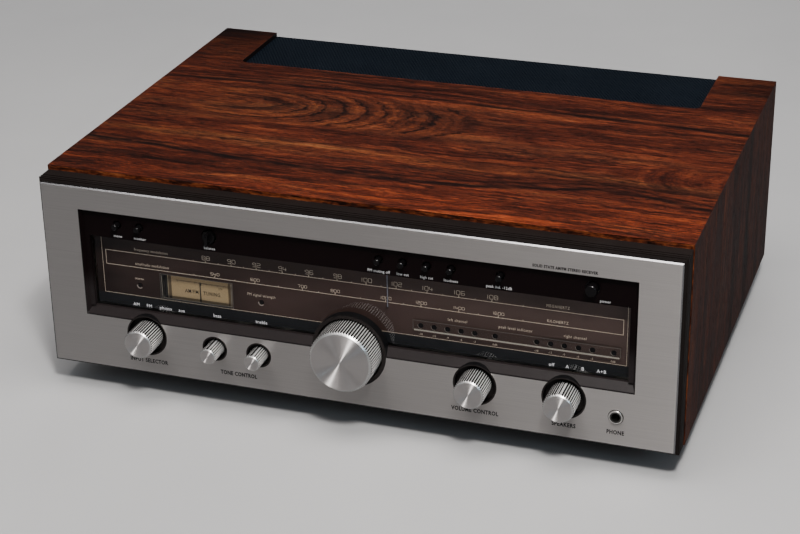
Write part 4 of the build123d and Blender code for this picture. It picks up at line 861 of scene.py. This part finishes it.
def knob(body, name, node, x, height, index_angle, radius, tip, back, flutes, cut, chamfer,
         hollow=False):
    """Turned knob with straight knurling."""
    steps = len(FLUTE_WAVE)
    count = flutes * steps
    rings = knob_rings(radius, tip, back, chamfer, hollow)

    def by_index(i):
        if index_angle is None:
            return False
        return abs((360.0 * i / count - index_angle + 180) % 360 - 180) < INDEX_HALF_ANGLE

    def rim_point(i, ring_radius, depth):
        turn = 2 * math.pi * i / count
        return place(x + ring_radius * math.sin(turn), depth,
                     height + ring_radius * math.cos(turn))

    shallow = [by_index(i) for i in range(count)]
    floor_radius = [radius - cut * (INDEX_CUT if shallow[i] else FLUTE_WAVE[i % steps])
                    for i in range(count)]
    # Steps that take the near-black painted shade material.
    groove_shaded = [i % steps in FLUTE_SHADED_STEPS and not shallow[i] for i in range(count)]
    following = [(i + 1) % count for i in range(count)]

    verts = [place(x, rings[0][0], height)]
    for depth, ring_radius, knurled, _ in rings:
        for i in range(count):
            reach = min(ring_radius, floor_radius[i]) if knurled else ring_radius
            verts.append(rim_point(i, reach, depth))
    faces = [(0, 1 + i, 1 + following[i]) for i in range(count)]
    slots = [FACE] * count
    for k in range(len(rings) - 1):
        _, _, knurled, slot = rings[k + 1]
        side = knurled and rings[k][2] and slot == KNURL
        for i in range(count):
            a = 1 + k * count + i
            b = 1 + k * count + following[i]
            faces.append((a, a + count, b + count, b))
            slots.append(GROOVE_SHADE if side and groove_shaded[i] else slot)

    # Close the shaft, or the bore for the spindle, with a fan round a centre point.
    last = 1 + (len(rings) - 1) * count
    end = tip + 7.0 if hollow else SHAFT_END
    centre = len(verts)
    verts.append(place(x, end, height))
    if hollow:
        bore = len(verts)
        verts += [rim_point(i, SHAFT_RADIUS, end) for i in range(count)]
        faces += [(last + i, bore + i, bore + following[i], last + following[i])
                  for i in range(count)]
        last = bore
    faces += [(last + i, centre, last + following[i]) for i in range(count)]
    slots += [KNURL] * (len(faces) - len(slots))

    obj = solid(name, verts, faces, KNOB_MATERIALS, place(x, tip, height), slots)
    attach(obj, body)
    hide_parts(node)
    if index_angle is not None:
        index_line(name + "_index", body, x, height, index_angle, radius - cut * INDEX_CUT,
                   tip + chamfer + 0.2, back - 0.8)


for body, name, node, x, height, sizes, index_angle in KNOBS:
    knob(body, name, node, x, height, index_angle, **sizes)

# ---------------------------------------------------------------------------
# Grille: perforated sheet in the notch, with its flanges and rear lip
# ---------------------------------------------------------------------------
GRILLE_HALF_WIDTH = 194.9
GRILLE_FRONT, GRILLE_BACK = 272.8, 352.7
SHEET_TOP, SHEET_BOTTOM = 148.5, 147.5
HOLE_PITCH = 2.80
HOLE_ROW = 2.43                                 # depth from one row of holes to the next
HOLE_RADIUS = 0.90
HOLE_CORNERS = (212, 270, 328, 32, 90, 148)     # degrees
GRILLE_CORNER_RADIUS = 5.2
WALL_TOP = 147.45

# Boxes under each end of the sheet: x from the middle, depth and height, each from and to.
END_BOXES = (
    ((194.9, 193.7), (279.0, 352.6), (138.8, WALL_TOP)),
    ((194.95, 205.2), (279.0, 352.6), (138.8, 139.95)),
)
REAR_LIP = ((-193.6, 193.6), (351.5, GRILLE_BACK), (130.0, WALL_TOP))


def perforated_sheet():
    """Vertices and faces of slanted cells, each with a six-sided hole."""
    columns = int(2 * GRILLE_HALF_WIDTH / HOLE_PITCH) + 30
    rows = int((GRILLE_BACK - GRILLE_FRONT) / HOLE_ROW) + 2
    verts, faces, numbers = [], [], {}

    def vert(x, depth, height):
        key = (round(x, 4), round(depth, 4), height)
        if key not in numbers:
            numbers[key] = len(verts)
            verts.append(tuple(place(x, depth, height)))
        return numbers[key]

    for j in range(rows):
        for i in range(-columns // 2, columns // 2):
            x = i * HOLE_PITCH + j * HOLE_PITCH / 2 - rows * HOLE_PITCH / 4
            depth = GRILLE_FRONT - 0.6 + j * HOLE_ROW
            if x + 1.5 * HOLE_PITCH < -GRILLE_HALF_WIDTH or x > GRILLE_HALF_WIDTH:
                continue
            # Points on the cell's outline, one for each corner of the hole.
            outline = [(x + step * HOLE_PITCH, depth) for step in (0, 0.5, 1)]
            outline += [(x + step * HOLE_PITCH, depth + HOLE_ROW) for step in (1.5, 1, 0.5)]
            centre_x, centre_depth = x + 0.75 * HOLE_PITCH, depth + HOLE_ROW / 2
            hole = [(centre_x + HOLE_RADIUS * math.cos(math.radians(angle)),
                     centre_depth + HOLE_RADIUS * math.sin(math.radians(angle)))
                    for angle in HOLE_CORNERS]
            top_out, top_in, low_out, low_in = [
                [vert(*point, level) for point in points]
                for level in (SHEET_TOP, SHEET_BOTTOM) for points in (outline, hole)]
            for k in range(6):
                n = (k + 1) % 6
                faces.append((top_out[k], top_out[n], top_in[n], top_in[k]))
                faces.append((low_out[k], low_in[k], low_in[n], low_out[n]))
                faces.append((top_in[k], top_in[n], low_in[n], low_in[k]))
    return verts, faces


def grille_cuts():
    """Planes, as point and outward normal, that trim the sheet and round its front corners."""
    cuts = [(place(GRILLE_HALF_WIDTH, 0, 0), Vector((1, 0, 0))),
            (place(-GRILLE_HALF_WIDTH, 0, 0), Vector((-1, 0, 0))),
            (place(0, GRILLE_FRONT, 0), Vector((0, -1, 0))),
            (place(0, GRILLE_BACK, 0), Vector((0, 1, 0)))]
    radius = GRILLE_CORNER_RADIUS
    for side in (-1, 1):
        centre = place(side * (GRILLE_HALF_WIDTH - radius), GRILLE_FRONT + radius, 0)
        for degrees in (22.5, 45.0, 67.5):
            angle = math.radians(degrees)
            normal = Vector((side * math.cos(angle), -math.sin(angle), 0))
            cuts.append((centre + normal * radius / MM_PER_M, normal))
    return cuts


def add_box(bm, x_range, depth_range, height_range):
    (x0, x1), (d0, d1) = sorted(x_range), depth_range
    verts = [bm.verts.new(place(x, depth, height)) for height in height_range
             for x, depth in ((x0, d0), (x1, d0), (x1, d1), (x0, d1))]
    for face in ((0, 3, 2, 1), (4, 5, 6, 7), (0, 1, 5, 4), (1, 2, 6, 5), (2, 3, 7, 6),
                 (3, 0, 4, 7)):
        bm.faces.new([verts[i] for i in face])


def grille():
    verts, faces = perforated_sheet()
    mesh = bpy.data.meshes.new("perforated_grille")
    mesh.from_pydata(verts, [], faces)
    with editing(mesh) as bm:
        for point, normal in grille_cuts():
            geometry = bm.verts[:] + bm.edges[:] + bm.faces[:]
            bmesh.ops.bisect_plane(bm, geom=geometry, dist=1e-7, plane_co=point,
                                   plane_no=normal, clear_outer=True)
            open_edges = [edge for edge in bm.edges if edge.is_boundary]
            if open_edges:
                bmesh.ops.holes_fill(bm, edges=open_edges, sides=0)
        for side in (-1, 1):
            for x_range, depth_range, height_range in END_BOXES:
                add_box(bm, [side * x for x in x_range], depth_range, height_range)
        add_box(bm, *REAR_LIP)
        bmesh.ops.recalc_face_normals(bm, faces=bm.faces)
    mesh.materials.append(MATERIALS["grille_enamel"])
    obj = link_object("perforated_grille", mesh)
    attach(obj, "receiver")
    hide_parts("vent_grille")


grille()

# ---------------------------------------------------------------------------
# Printing helpers
# ---------------------------------------------------------------------------
# Strokes of the dial's digits in a unit cell: points, whether closed.
DIGITS = {
    "0": [([(0, 0), (1, 0), (1, 1), (0, 1)], True)],
    "1": [([(0.5, 0), (0.5, 1)], False)],
    "2": [([(0, 1), (1, 1), (1, 0.5), (0, 0.5), (0, 0), (1, 0)], False)],
    "3": [([(0, 1), (1, 1), (1, 0), (0, 0)], False), ([(0.3, 0.5), (1, 0.5)], False)],
    "4": [([(0, 1), (0, 0.35), (1, 0.35)], False), ([(0.72, 0.8), (0.72, 0)], False)],
    "5": [([(1, 1), (0, 1), (0, 0.5), (1, 0.5), (1, 0), (0, 0)], False)],
    "6": [([(1, 1), (0, 1), (0, 0), (1, 0), (1, 0.5), (0, 0.5)], False)],
    "7": [([(0, 1), (1, 1), (0.4, 0)], False)],
    "8": [([(0, 0), (1, 0), (1, 1), (0, 1)], True), ([(0, 0.5), (1, 0.5)], False)],
    "9": [([(0, 0), (1, 0), (1, 1), (0, 1), (0, 0.5), (1, 0.5)], False)],
}


def direction(start, end, fallback):
    step = end - start
    return step.normalized() if step.length > 1e-9 else fallback


def add_ribbon(bm, points, half_width, closed, depth, thick):
    """Thin flat strip parallel to the faceplate, along (x, height) points."""
    points = [Vector(point) for point in points]
    count = len(points)
    verts = []
    for i, point in enumerate(points):
        if closed:
            before, after = points[i - 1], points[(i + 1) % count]
        else:
            before, after = points[max(i - 1, 0)], points[min(i + 1, count - 1)]
        arriving = direction(before, point, (after - point).normalized())
        leaving = direction(point, after, arriving)
        along = (arriving + leaving).normalized()
        normal = Vector((-along.y, along.x))
        mitre = max(0.5, normal.dot(Vector((-arriving.y, arriving.x))))
        offset = normal * half_width / mitre
        for level in (depth - thick, depth):
            for edge in (point + offset, point - offset):
                verts.append(bm.verts.new(place(edge.x, level, edge.y)))
    faces = []
    for i in range(count if closed else count - 1):
        a, b = 4 * i, 4 * ((i + 1) % count)
        faces += [(a, a + 1, b + 1, b), (a + 2, b + 2, b + 3, a + 3),
                  (a, b, b + 2, a + 2), (a + 1, a + 3, b + 3, b + 1)]
    if not closed:
        end = 4 * (count - 1)
        faces += [(0, 2, 3, 1), (end, end + 1, end + 3, end + 2)]
    for face in faces:
        bm.faces.new([verts[i] for i in face])


def rounded(points, closed, reach, steps=3):
    """Rounds the corners of a polyline, starting `reach` before each."""
    points = [Vector(point) for point in points]
    result = []
    for i, point in enumerate(points):
        if not closed and i in (0, len(points) - 1):
            result.append(point)
            continue
        before, after = points[i - 1] - point, points[(i + 1) % len(points)] - point
        cut = min(reach, before.length * 0.48, after.length * 0.48)
        start = point + before.normalized() * cut
        end = point + after.normalized() * cut
        for j in range(steps + 1):
            t = j / steps
            result.append(start * (1 - t) ** 2 + point * 2 * t * (1 - t) + end * t * t)
    return result


def number_strips(text, x, base, height, width, half_width, gap):
    """Strips of a number centred on x."""
    widths = [width * 0.35 if digit == "1" else width for digit in text]
    left = x - (sum(widths) + gap * (len(text) - 1)) / 2
    strips = []
    for digit, digit_width in zip(text, widths):
        for stroke, closed in DIGITS[digit]:
            points = [(left + a * digit_width, base + b * height) for a, b in stroke]
            strips.append((rounded(points, closed, height * 0.19), half_width, closed))
        left += digit_width + gap
    return strips


def add_text(mesh, depth, text, x, height, size, x_scale, weight, spacing):
    """Adds lettering centred on x, with its baseline at the height."""
    font = bpy.data.curves.new("lettering", "FONT")
    font.body = text
    font.size = size / MM_PER_M
    font.align_x = "CENTER"
    font.align_y = "BOTTOM_BASELINE"
    font.space_character = spacing
    font.resolution_u = 2
    font.offset = weight / MM_PER_M
    font.extrude = 0.03 / MM_PER_M
    obj = link_object("lettering", font)
    bpy.context.view_layer.update()
    depsgraph = bpy.context.evaluated_depsgraph_get()
    letters = bpy.data.meshes.new_from_object(obj.evaluated_get(depsgraph))
    letters.transform(Matrix.Translation(place(x, depth, height))
                      @ Matrix.Rotation(math.pi / 2, 4, "X")
                      @ Matrix.Diagonal((x_scale, 1, 1, 1)))
    with editing(mesh) as bm:
        bm.from_mesh(letters)
    bpy.data.meshes.remove(letters)
    bpy.data.objects.remove(obj)
    bpy.data.curves.remove(font)


def print_object(name, material, texts=(), text_depth=0.0, strips=(), strip_depth=0.0,
                 thick=0.06, body="receiver"):
    """One object of lettering and of strips (points, half width, whether closed)."""
    mesh = bpy.data.meshes.new(name)
    for text in texts:
        add_text(mesh, text_depth, *text)
    if strips:
        with editing(mesh) as bm:
            for points, half_width, closed in strips:
                add_ribbon(bm, points, half_width, closed, strip_depth, thick)
            bmesh.ops.recalc_face_normals(bm, faces=bm.faces)
    mesh.materials.append(MATERIALS[material])
    mesh.polygons.foreach_set("material_index", [0] * len(mesh.polygons))
    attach(link_object(name, mesh), body)


def print_strips(name, material, depth, strips, **options):
    print_object(name, material, strips=strips, strip_depth=depth, **options)


def arc(x, height, radius, angles):
    return [(x + radius * math.cos(a), height + radius * math.sin(a)) for a in angles]


def arc_strip(x, height, radius, degrees, half_width):
    return arc(x, height, radius, [math.radians(a) for a in degrees]), half_width, False


def ring_strip(x, height, radius, count, half_width):
    angles = [2 * math.pi * k / count for k in range(count)]
    return arc(x, height, radius, angles), half_width, True


# ---------------------------------------------------------------------------
# Lettering: text, x, baseline height, size, x scale, weight, letter spacing
# ---------------------------------------------------------------------------
FACEPLATE_TEXTS = (
    ("INPUT SELECTOR", -160.8, 9.1, 4.5, 0.81, 0.12, 1.10),
    ("TONE CONTROL", -87.7, 9.1, 4.5, 0.77, 0.15, 1.10),
    ("VOLUME CONTROL", 94.7, 9.1, 4.5, 0.80, 0.15, 1.10),
    ("SPEAKERS", 159.9, 9.0, 4.5, 0.82, 0.15, 1.10),
    ("PHONE", 197.0, 9.1, 4.5, 0.79, 0.15, 1.10),
    ("SOLID STATE AM/FM STEREO RECEIVER", 158.4, 130.1, 2.9, 0.80, 0.12, 1.14),
)
BALANCE_X = -107.0
STRIP_TEXTS = [(text, x, 107.95, 3.0, 0.92, 0.0, 1.07) for text, x in (
    ("mono", -180.4), ("monitor", -162.6), ("balance", BALANCE_X), ("FM muting off", 22.8),
    ("low cut", 40.7), ("high cut", 58.4), ("loudness", 76.1), ("peak ind. -12dB", 111.0),
    ("power", 186.2))]
GLASS_TEXTS = [(text, x, 51.4, 3.9, 0.93, -0.03, 1.07) for text, x in (
    ("AM", -171.5), ("FM", -161.0), ("phono", -147.6), ("aux", -134.6), ("bass", -105.8),
    ("treble", -70.6), ("off", 148.4), ("A", 159.8), ("B", 170.9), ("A+B", 184.2))]
METER_TEXTS = (
    ("AM/FM", -130.8, 62.4, 4.3, 0.80, 0.02, 1.12),
    ("TUNING", -114.6, 62.4, 4.1, 0.80, 0.05, 1.12),
    ("FM", -107.5, 68.0, 2.6, 0.9, 0.0, 1.0),
)
FM_BASE, AM_BASE = 91.5, 80.0       # heights of the two scale lines
DIAL_TEXTS = [
    ("frequency modulation", -159.8, 93.7, 3.2, 0.86, -0.03, 1.12),
    ("amplitude modulation", -159.8, 82.0, 3.2, 0.86, -0.03, 1.12),
    ("MEGAHERTZ", 150.6, 93.7, 3.1, 0.84, -0.02, 1.16),
    ("KILOHERTZ", 150.6, 82.0, 3.1, 0.84, -0.02, 1.16),
    ("stereo", -170.9, 70.0, 2.8, 1.0, 0.0, 1.0),
    ("FM signal strength", -72.6, 70.0, 3.1, 0.86, -0.02, 1.12),
    ("left channel", 77.6, 72.0, 3.2, 0.86, -0.02, 1.12),
    ("peak level indicator", 120.2, 72.0, 3.2, 0.86, -0.02, 1.12),
    ("right channel", 163.3, 72.0, 3.2, 0.86, -0.02, 1.12),
]
PEAK_LAMP_X = (50.1, 60.1, 70.2, 80.2, 90.3, 105.3, 135.6, 145.6, 155.5, 165.6, 175.6, 190.7)
PEAK_LEVELS = ("-18", "-12", "-9", "-6", "-3", "0dB") * 2
DIAL_TEXTS += [(level, x, 57.6, 2.2, 1.0, 0.0, 1.0)
               for x, level in zip(PEAK_LAMP_X, PEAK_LEVELS)]

print_object("faceplate_lettering", "black_print", FACEPLATE_TEXTS, -0.03)
print_object("strip_lettering", "grey_print", STRIP_TEXTS, 3.55)
print_object("glass_lettering", "white_print", GLASS_TEXTS, 7.36)

# ---------------------------------------------------------------------------
# Dial and meter scales
# ---------------------------------------------------------------------------
# Frequency: x of its mark.
FM_MARKS = {88: -115.9, 90: -95.5, 92: -75.7, 94: -55.3, 96: -34.7, 98: -12.8, 100: 9.3,
            102: 32.0, 104: 55.1, 106: 78.6, 108: 102.9}
AM_MARKS = {540: -109.1, 600: -77.2, 700: -40.1, 800: -14.7, 1000: 23.9, 1200: 50.5,
            1400: 78.6, 1600: 107.6}
FM_DIGITS = dict(height=3.1, width=2.55, half_width=0.14, gap=0.9)
AM_DIGITS = dict(height=2.1, width=1.85, half_width=0.12, gap=0.62)


def short_tick(x, base):
    return [(x, base), (x, base + 1.0)], 0.16, False


def scale_strips(marks, base, number_shift, number_rise, digits):
    """Numbered ticks of one scale, with a short tick halfway to each next one."""
    strips = []
    places = list(marks.values())
    for i, (frequency, x) in enumerate(marks.items()):
        strips.append(([(x, base), (x, base + 1.7)], 0.2, False))
        strips += number_strips(str(frequency), x + number_shift, base + number_rise, **digits)
        if i + 1 < len(places):
            strips.append(short_tick((x + places[i + 1]) / 2, base))
    return strips


def dial_strips():
    end_x, border_x = 197.2, 200.2
    border_low, border_high = 56.4, 106.5
    strips = [
        ([(-end_x, FM_BASE), (end_x, FM_BASE), (end_x, AM_BASE), (-end_x, AM_BASE)], 0.17, True),
        ([(-border_x, border_high), (-border_x, border_low), (border_x, border_low),
          (border_x, border_high)], 0.13, False),
    ]
    strips += scale_strips(FM_MARKS, FM_BASE, 0.4, 2.15, FM_DIGITS)
    strips += scale_strips(AM_MARKS, AM_BASE, 0.2, 2.1, AM_DIGITS)
    strips += [short_tick(x, base) for x in (-125.8, 125.6) for base in (FM_BASE, AM_BASE)]
    return strips


def meter_strips():
    line_height, middle_x, tick_pitch = 71.6, -123.4, 4.6
    strips = [([(-143.5, line_height), (-101.0, line_height)], 0.12, False)]
    for i in range(-4, 5):
        x = middle_x + i * tick_pitch
        end, half_width = (70.6, 0.10) if i else (69.6, 0.55)
        strips.append(([(x, line_height), (x, end)], half_width, False))
    return strips


print_object("dial_scales", "cream_print", DIAL_TEXTS, 13.95, dial_strips(), 13.98)
print_object("meter_scale", "black_print", METER_TEXTS, 18.76, meter_strips(), 18.78)

# ---------------------------------------------------------------------------
# Lines, lamps and socket
# ---------------------------------------------------------------------------
# Light lines of the meter's frame, and of the clear bar's outline.
print_strips("meter_frame_line", "frame_line", 13.97, [
    ([(-153.9, 57.1), (-95.5, 57.1), (-95.5, 77.4), (-153.9, 77.4)], 0.25, True)])
print_strips("meter_frame_lit", "frame_lit", 13.965, [
    ([(-152.6, 76.2), (-152.6, 58.2), (-96.6, 58.2), (-96.6, 76.2)], 0.24, False)])
print_strips("peak_strip_outline", "frame_line", 11.37, [
    ([(45.2, 62.9), (45.2, 70.3), (196.3, 70.3), (196.3, 62.9)], 0.2, False)])

# Dark faces of the level lamps, each with a painted highlight crescent at its lower left.
FACE_SHIFT, PEAK_LAMP_HEIGHT = 0.9, 66.5
print_strips("lamp_collars", "lamp_dark", 11.37, thick=0.04, strips=[
    ring_strip(x + FACE_SHIFT, PEAK_LAMP_HEIGHT, radius=1.0, count=24, half_width=0.98)
    for x in PEAK_LAMP_X])
print_strips("lamp_crescent_highlights", "lamp_crescent_highlight", 11.38, thick=0.03, strips=[
    arc_strip(x + FACE_SHIFT, PEAK_LAMP_HEIGHT, 2.2, range(165, 290, 12), half_width=0.22)
    for x in PEAK_LAMP_X])

# Rings of the headphone socket: object, material, depth, thickness, radius, half width.
SOCKET_X, SOCKET_HEIGHT = 197.0, 22.8
for name, material, depth, thick, radius, half_width in (
        ("socket_gap", "black_print", -0.005, 0.04, 5.45, 0.2),
        ("socket_throat", "socket_grey", -0.91, 0.03, 3.72, 0.46),
        ("socket_ring", "socket_ring", -0.92, 0.03, 4.62, 0.34)):
    print_strips(name, material, depth, thick=thick, strips=[
        ring_strip(SOCKET_X, SOCKET_HEIGHT, radius, 40, half_width)])

# Painted highlight along the lower edge of the clear bar over the level lamps.
print_strips("peak_strip_edge_highlight", "painted_edge_highlight", 11.36, [
    ([(46.0, 62.75), (195.6, 62.75)], 0.6, False)])

# Rims of the two dial lamps as painted highlight on their lower side, and dark rings inside them.
DIAL_LAMP_X = (-170.9, -72.9)
print_strips("dial_lamp_rim_highlights", "dial_lamp_rim_highlight", 13.97, [
    arc_strip(x, 65.1, 2.05, range(165, 335, 10), half_width=0.42) for x in DIAL_LAMP_X])
print_strips("lamp_shades", "lamp_dark", 13.965, thick=0.03, strips=[
    ring_strip(x + 0.25, 65.6, radius=1.55, count=28, half_width=0.32) for x in DIAL_LAMP_X])

# Index line of the balance control.
print_strips("balance_index", "lamp_dark", -2.62, thick=0.05, body="balance", strips=[
    ([(BALANCE_X, 119.4), (BALANCE_X, 122.2)], 0.35, False)])


# ---------------------------------------------------------------------------
# Stage, lights and camera
# ---------------------------------------------------------------------------
def floor():
    half = 6.0                  # metres
    mesh = bpy.data.meshes.new("floor")
    mesh.from_pydata([(-half, -half, 0), (half, -half, 0), (half, half, 0), (-half, half, 0)],
                     [], [(0, 1, 2, 3)])
    obj = link_object("floor", mesh)
    mat = new_material("floor_paper")
    position = mat.value("ShaderNodeTexCoord", output="Object")
    cloud = mat.noise(position, scale=2.0, detail=4, rough=0.6)
    grain = mat.noise(position, scale=600.0, detail=2, rough=0.6)
    colour = mat.ramp(cloud, [(0.3, (0.50, 0.50, 0.505)), (0.7, (0.56, 0.56, 0.56))])
    # Darker when mirrored by glossy surfaces, and darker still in the clear glass.
    light_path = mat.node("ShaderNodeLightPath").outputs
    glossy = Value(mat, light_path["Is Glossy Ray"])
    singular = Value(mat, light_path["Is Singular Ray"])
    veil = glossy * 0.74 + (singular * glossy) * 0.22
    mat.principled(Base_Color=mat.mix(veil, colour, (0.02, 0.02, 0.022)), Roughness=0.85,
                   Normal=mat.bump(grain, strength=0.05, distance=0.0003),
                   Specular_IOR_Level=0.1)
    mesh.materials.append(MATERIALS["floor_paper"])


def area(name, location, target, size, power, colour, size_y=None):
    """Rectangular light aimed at a target; places and sizes in metres, power in watts."""
    light = bpy.data.lights.new(name, "AREA")
    light.energy = power
    light.color = colour
    light.shape = "RECTANGLE"
    light.size = size
    light.size_y = size_y or size
    obj = bpy.data.objects.new(name, light)
    obj.location = location
    obj.rotation_mode = "QUATERNION"
    obj.rotation_quaternion = (Vector(target) - Vector(location)).to_track_quat("-Z", "Y")
    bpy.context.scene.collection.objects.link(obj)
    return obj


def lights():
    key_place = dict(location=(0.56, -1.16, 1.61), target=(0.0, -0.19, 0.07))
    area("key", **key_place, size=0.26, power=28.0, colour=(1.0, 0.970, 0.940))
    area("spark", **key_place, size=0.05, power=6.0, colour=(1.0, 0.985, 0.97))
    area("overhead", location=(0.09, -0.45, 1.75), target=(0.0, -0.05, 0.08),
         size=1.05, size_y=0.9, power=19.3, colour=(1, 0.950, 0.925))
    # Glint along the upper left edges.
    rim = area("rim", location=(-0.88, -0.45, 1.70), target=(-0.15, -0.15, 0.12),
               size=0.9, size_y=0.34, power=4.6, colour=(1.0, 0.965, 0.94))
    rim.visible_diffuse = False
    back_fill = area("back_fill", location=(-0.5, 2.2, 1.0), target=(0.0, 0.15, 0.08),
                     size=1.4, power=17.0, colour=(1.0, 1.0, 1.0))
    back_fill.visible_glossy = False
    area("fill", location=(-1.5, -1.3, 1.0), target=(0, 0, 0.08),
         size=1.0, power=1.8, colour=(0.97, 0.98, 1.0))
    area("side", location=(1.19, -0.94, 0.72), target=(0.05, -0.19, 0.07),
         size=0.22, power=1.1, colour=(0.55, 0.80, 1.0))


def studio_world():
    """Pale surroundings, dimmer in reflections and brighter seen directly."""
    world = bpy.data.worlds.new("studio")
    bpy.context.scene.world = world
    world.use_nodes = True
    nodes = Nodes(world.node_tree)
    background = world.node_tree.nodes["Background"]
    light_path = nodes.node("ShaderNodeLightPath").outputs
    strength = nodes.linear(Value(nodes, light_path["Is Glossy Ray"]), 0.0, 1.0, 0.20, 0.065)
    strength = nodes.linear(Value(nodes, light_path["Is Camera Ray"]), 0.0, 1.0, strength, 0.42)
    nodes.put(background.inputs[0], (0.80, 0.82, 0.85))
    nodes.put(background.inputs[1], strength)


def camera():
    """Camera in front, to the right and above, looking down at the receiver."""
    data = bpy.data.cameras.new("camera")
    obj = link_object("camera", data)
    data.sensor_fit = "HORIZONTAL"
    data.sensor_width = 36.0
    data.lens = 88.85
    data.clip_start = 0.05
    data.clip_end = 50.0
    level = Vector((0.9455, 0.3254, -0.0148)).normalized()
    back = -Vector((-0.3003, 0.8532, -0.4264)).normalized()
    up = back.cross(level).normalized()
    right = up.cross(back).normalized()
    turn = Matrix((right, up, back)).transposed().to_4x4()
    obj.matrix_world = Matrix.Translation(place(453.89, -1175.69, 703.74)) @ turn
    bpy.context.scene.camera = obj


floor()
lights()
studio_world()
camera()
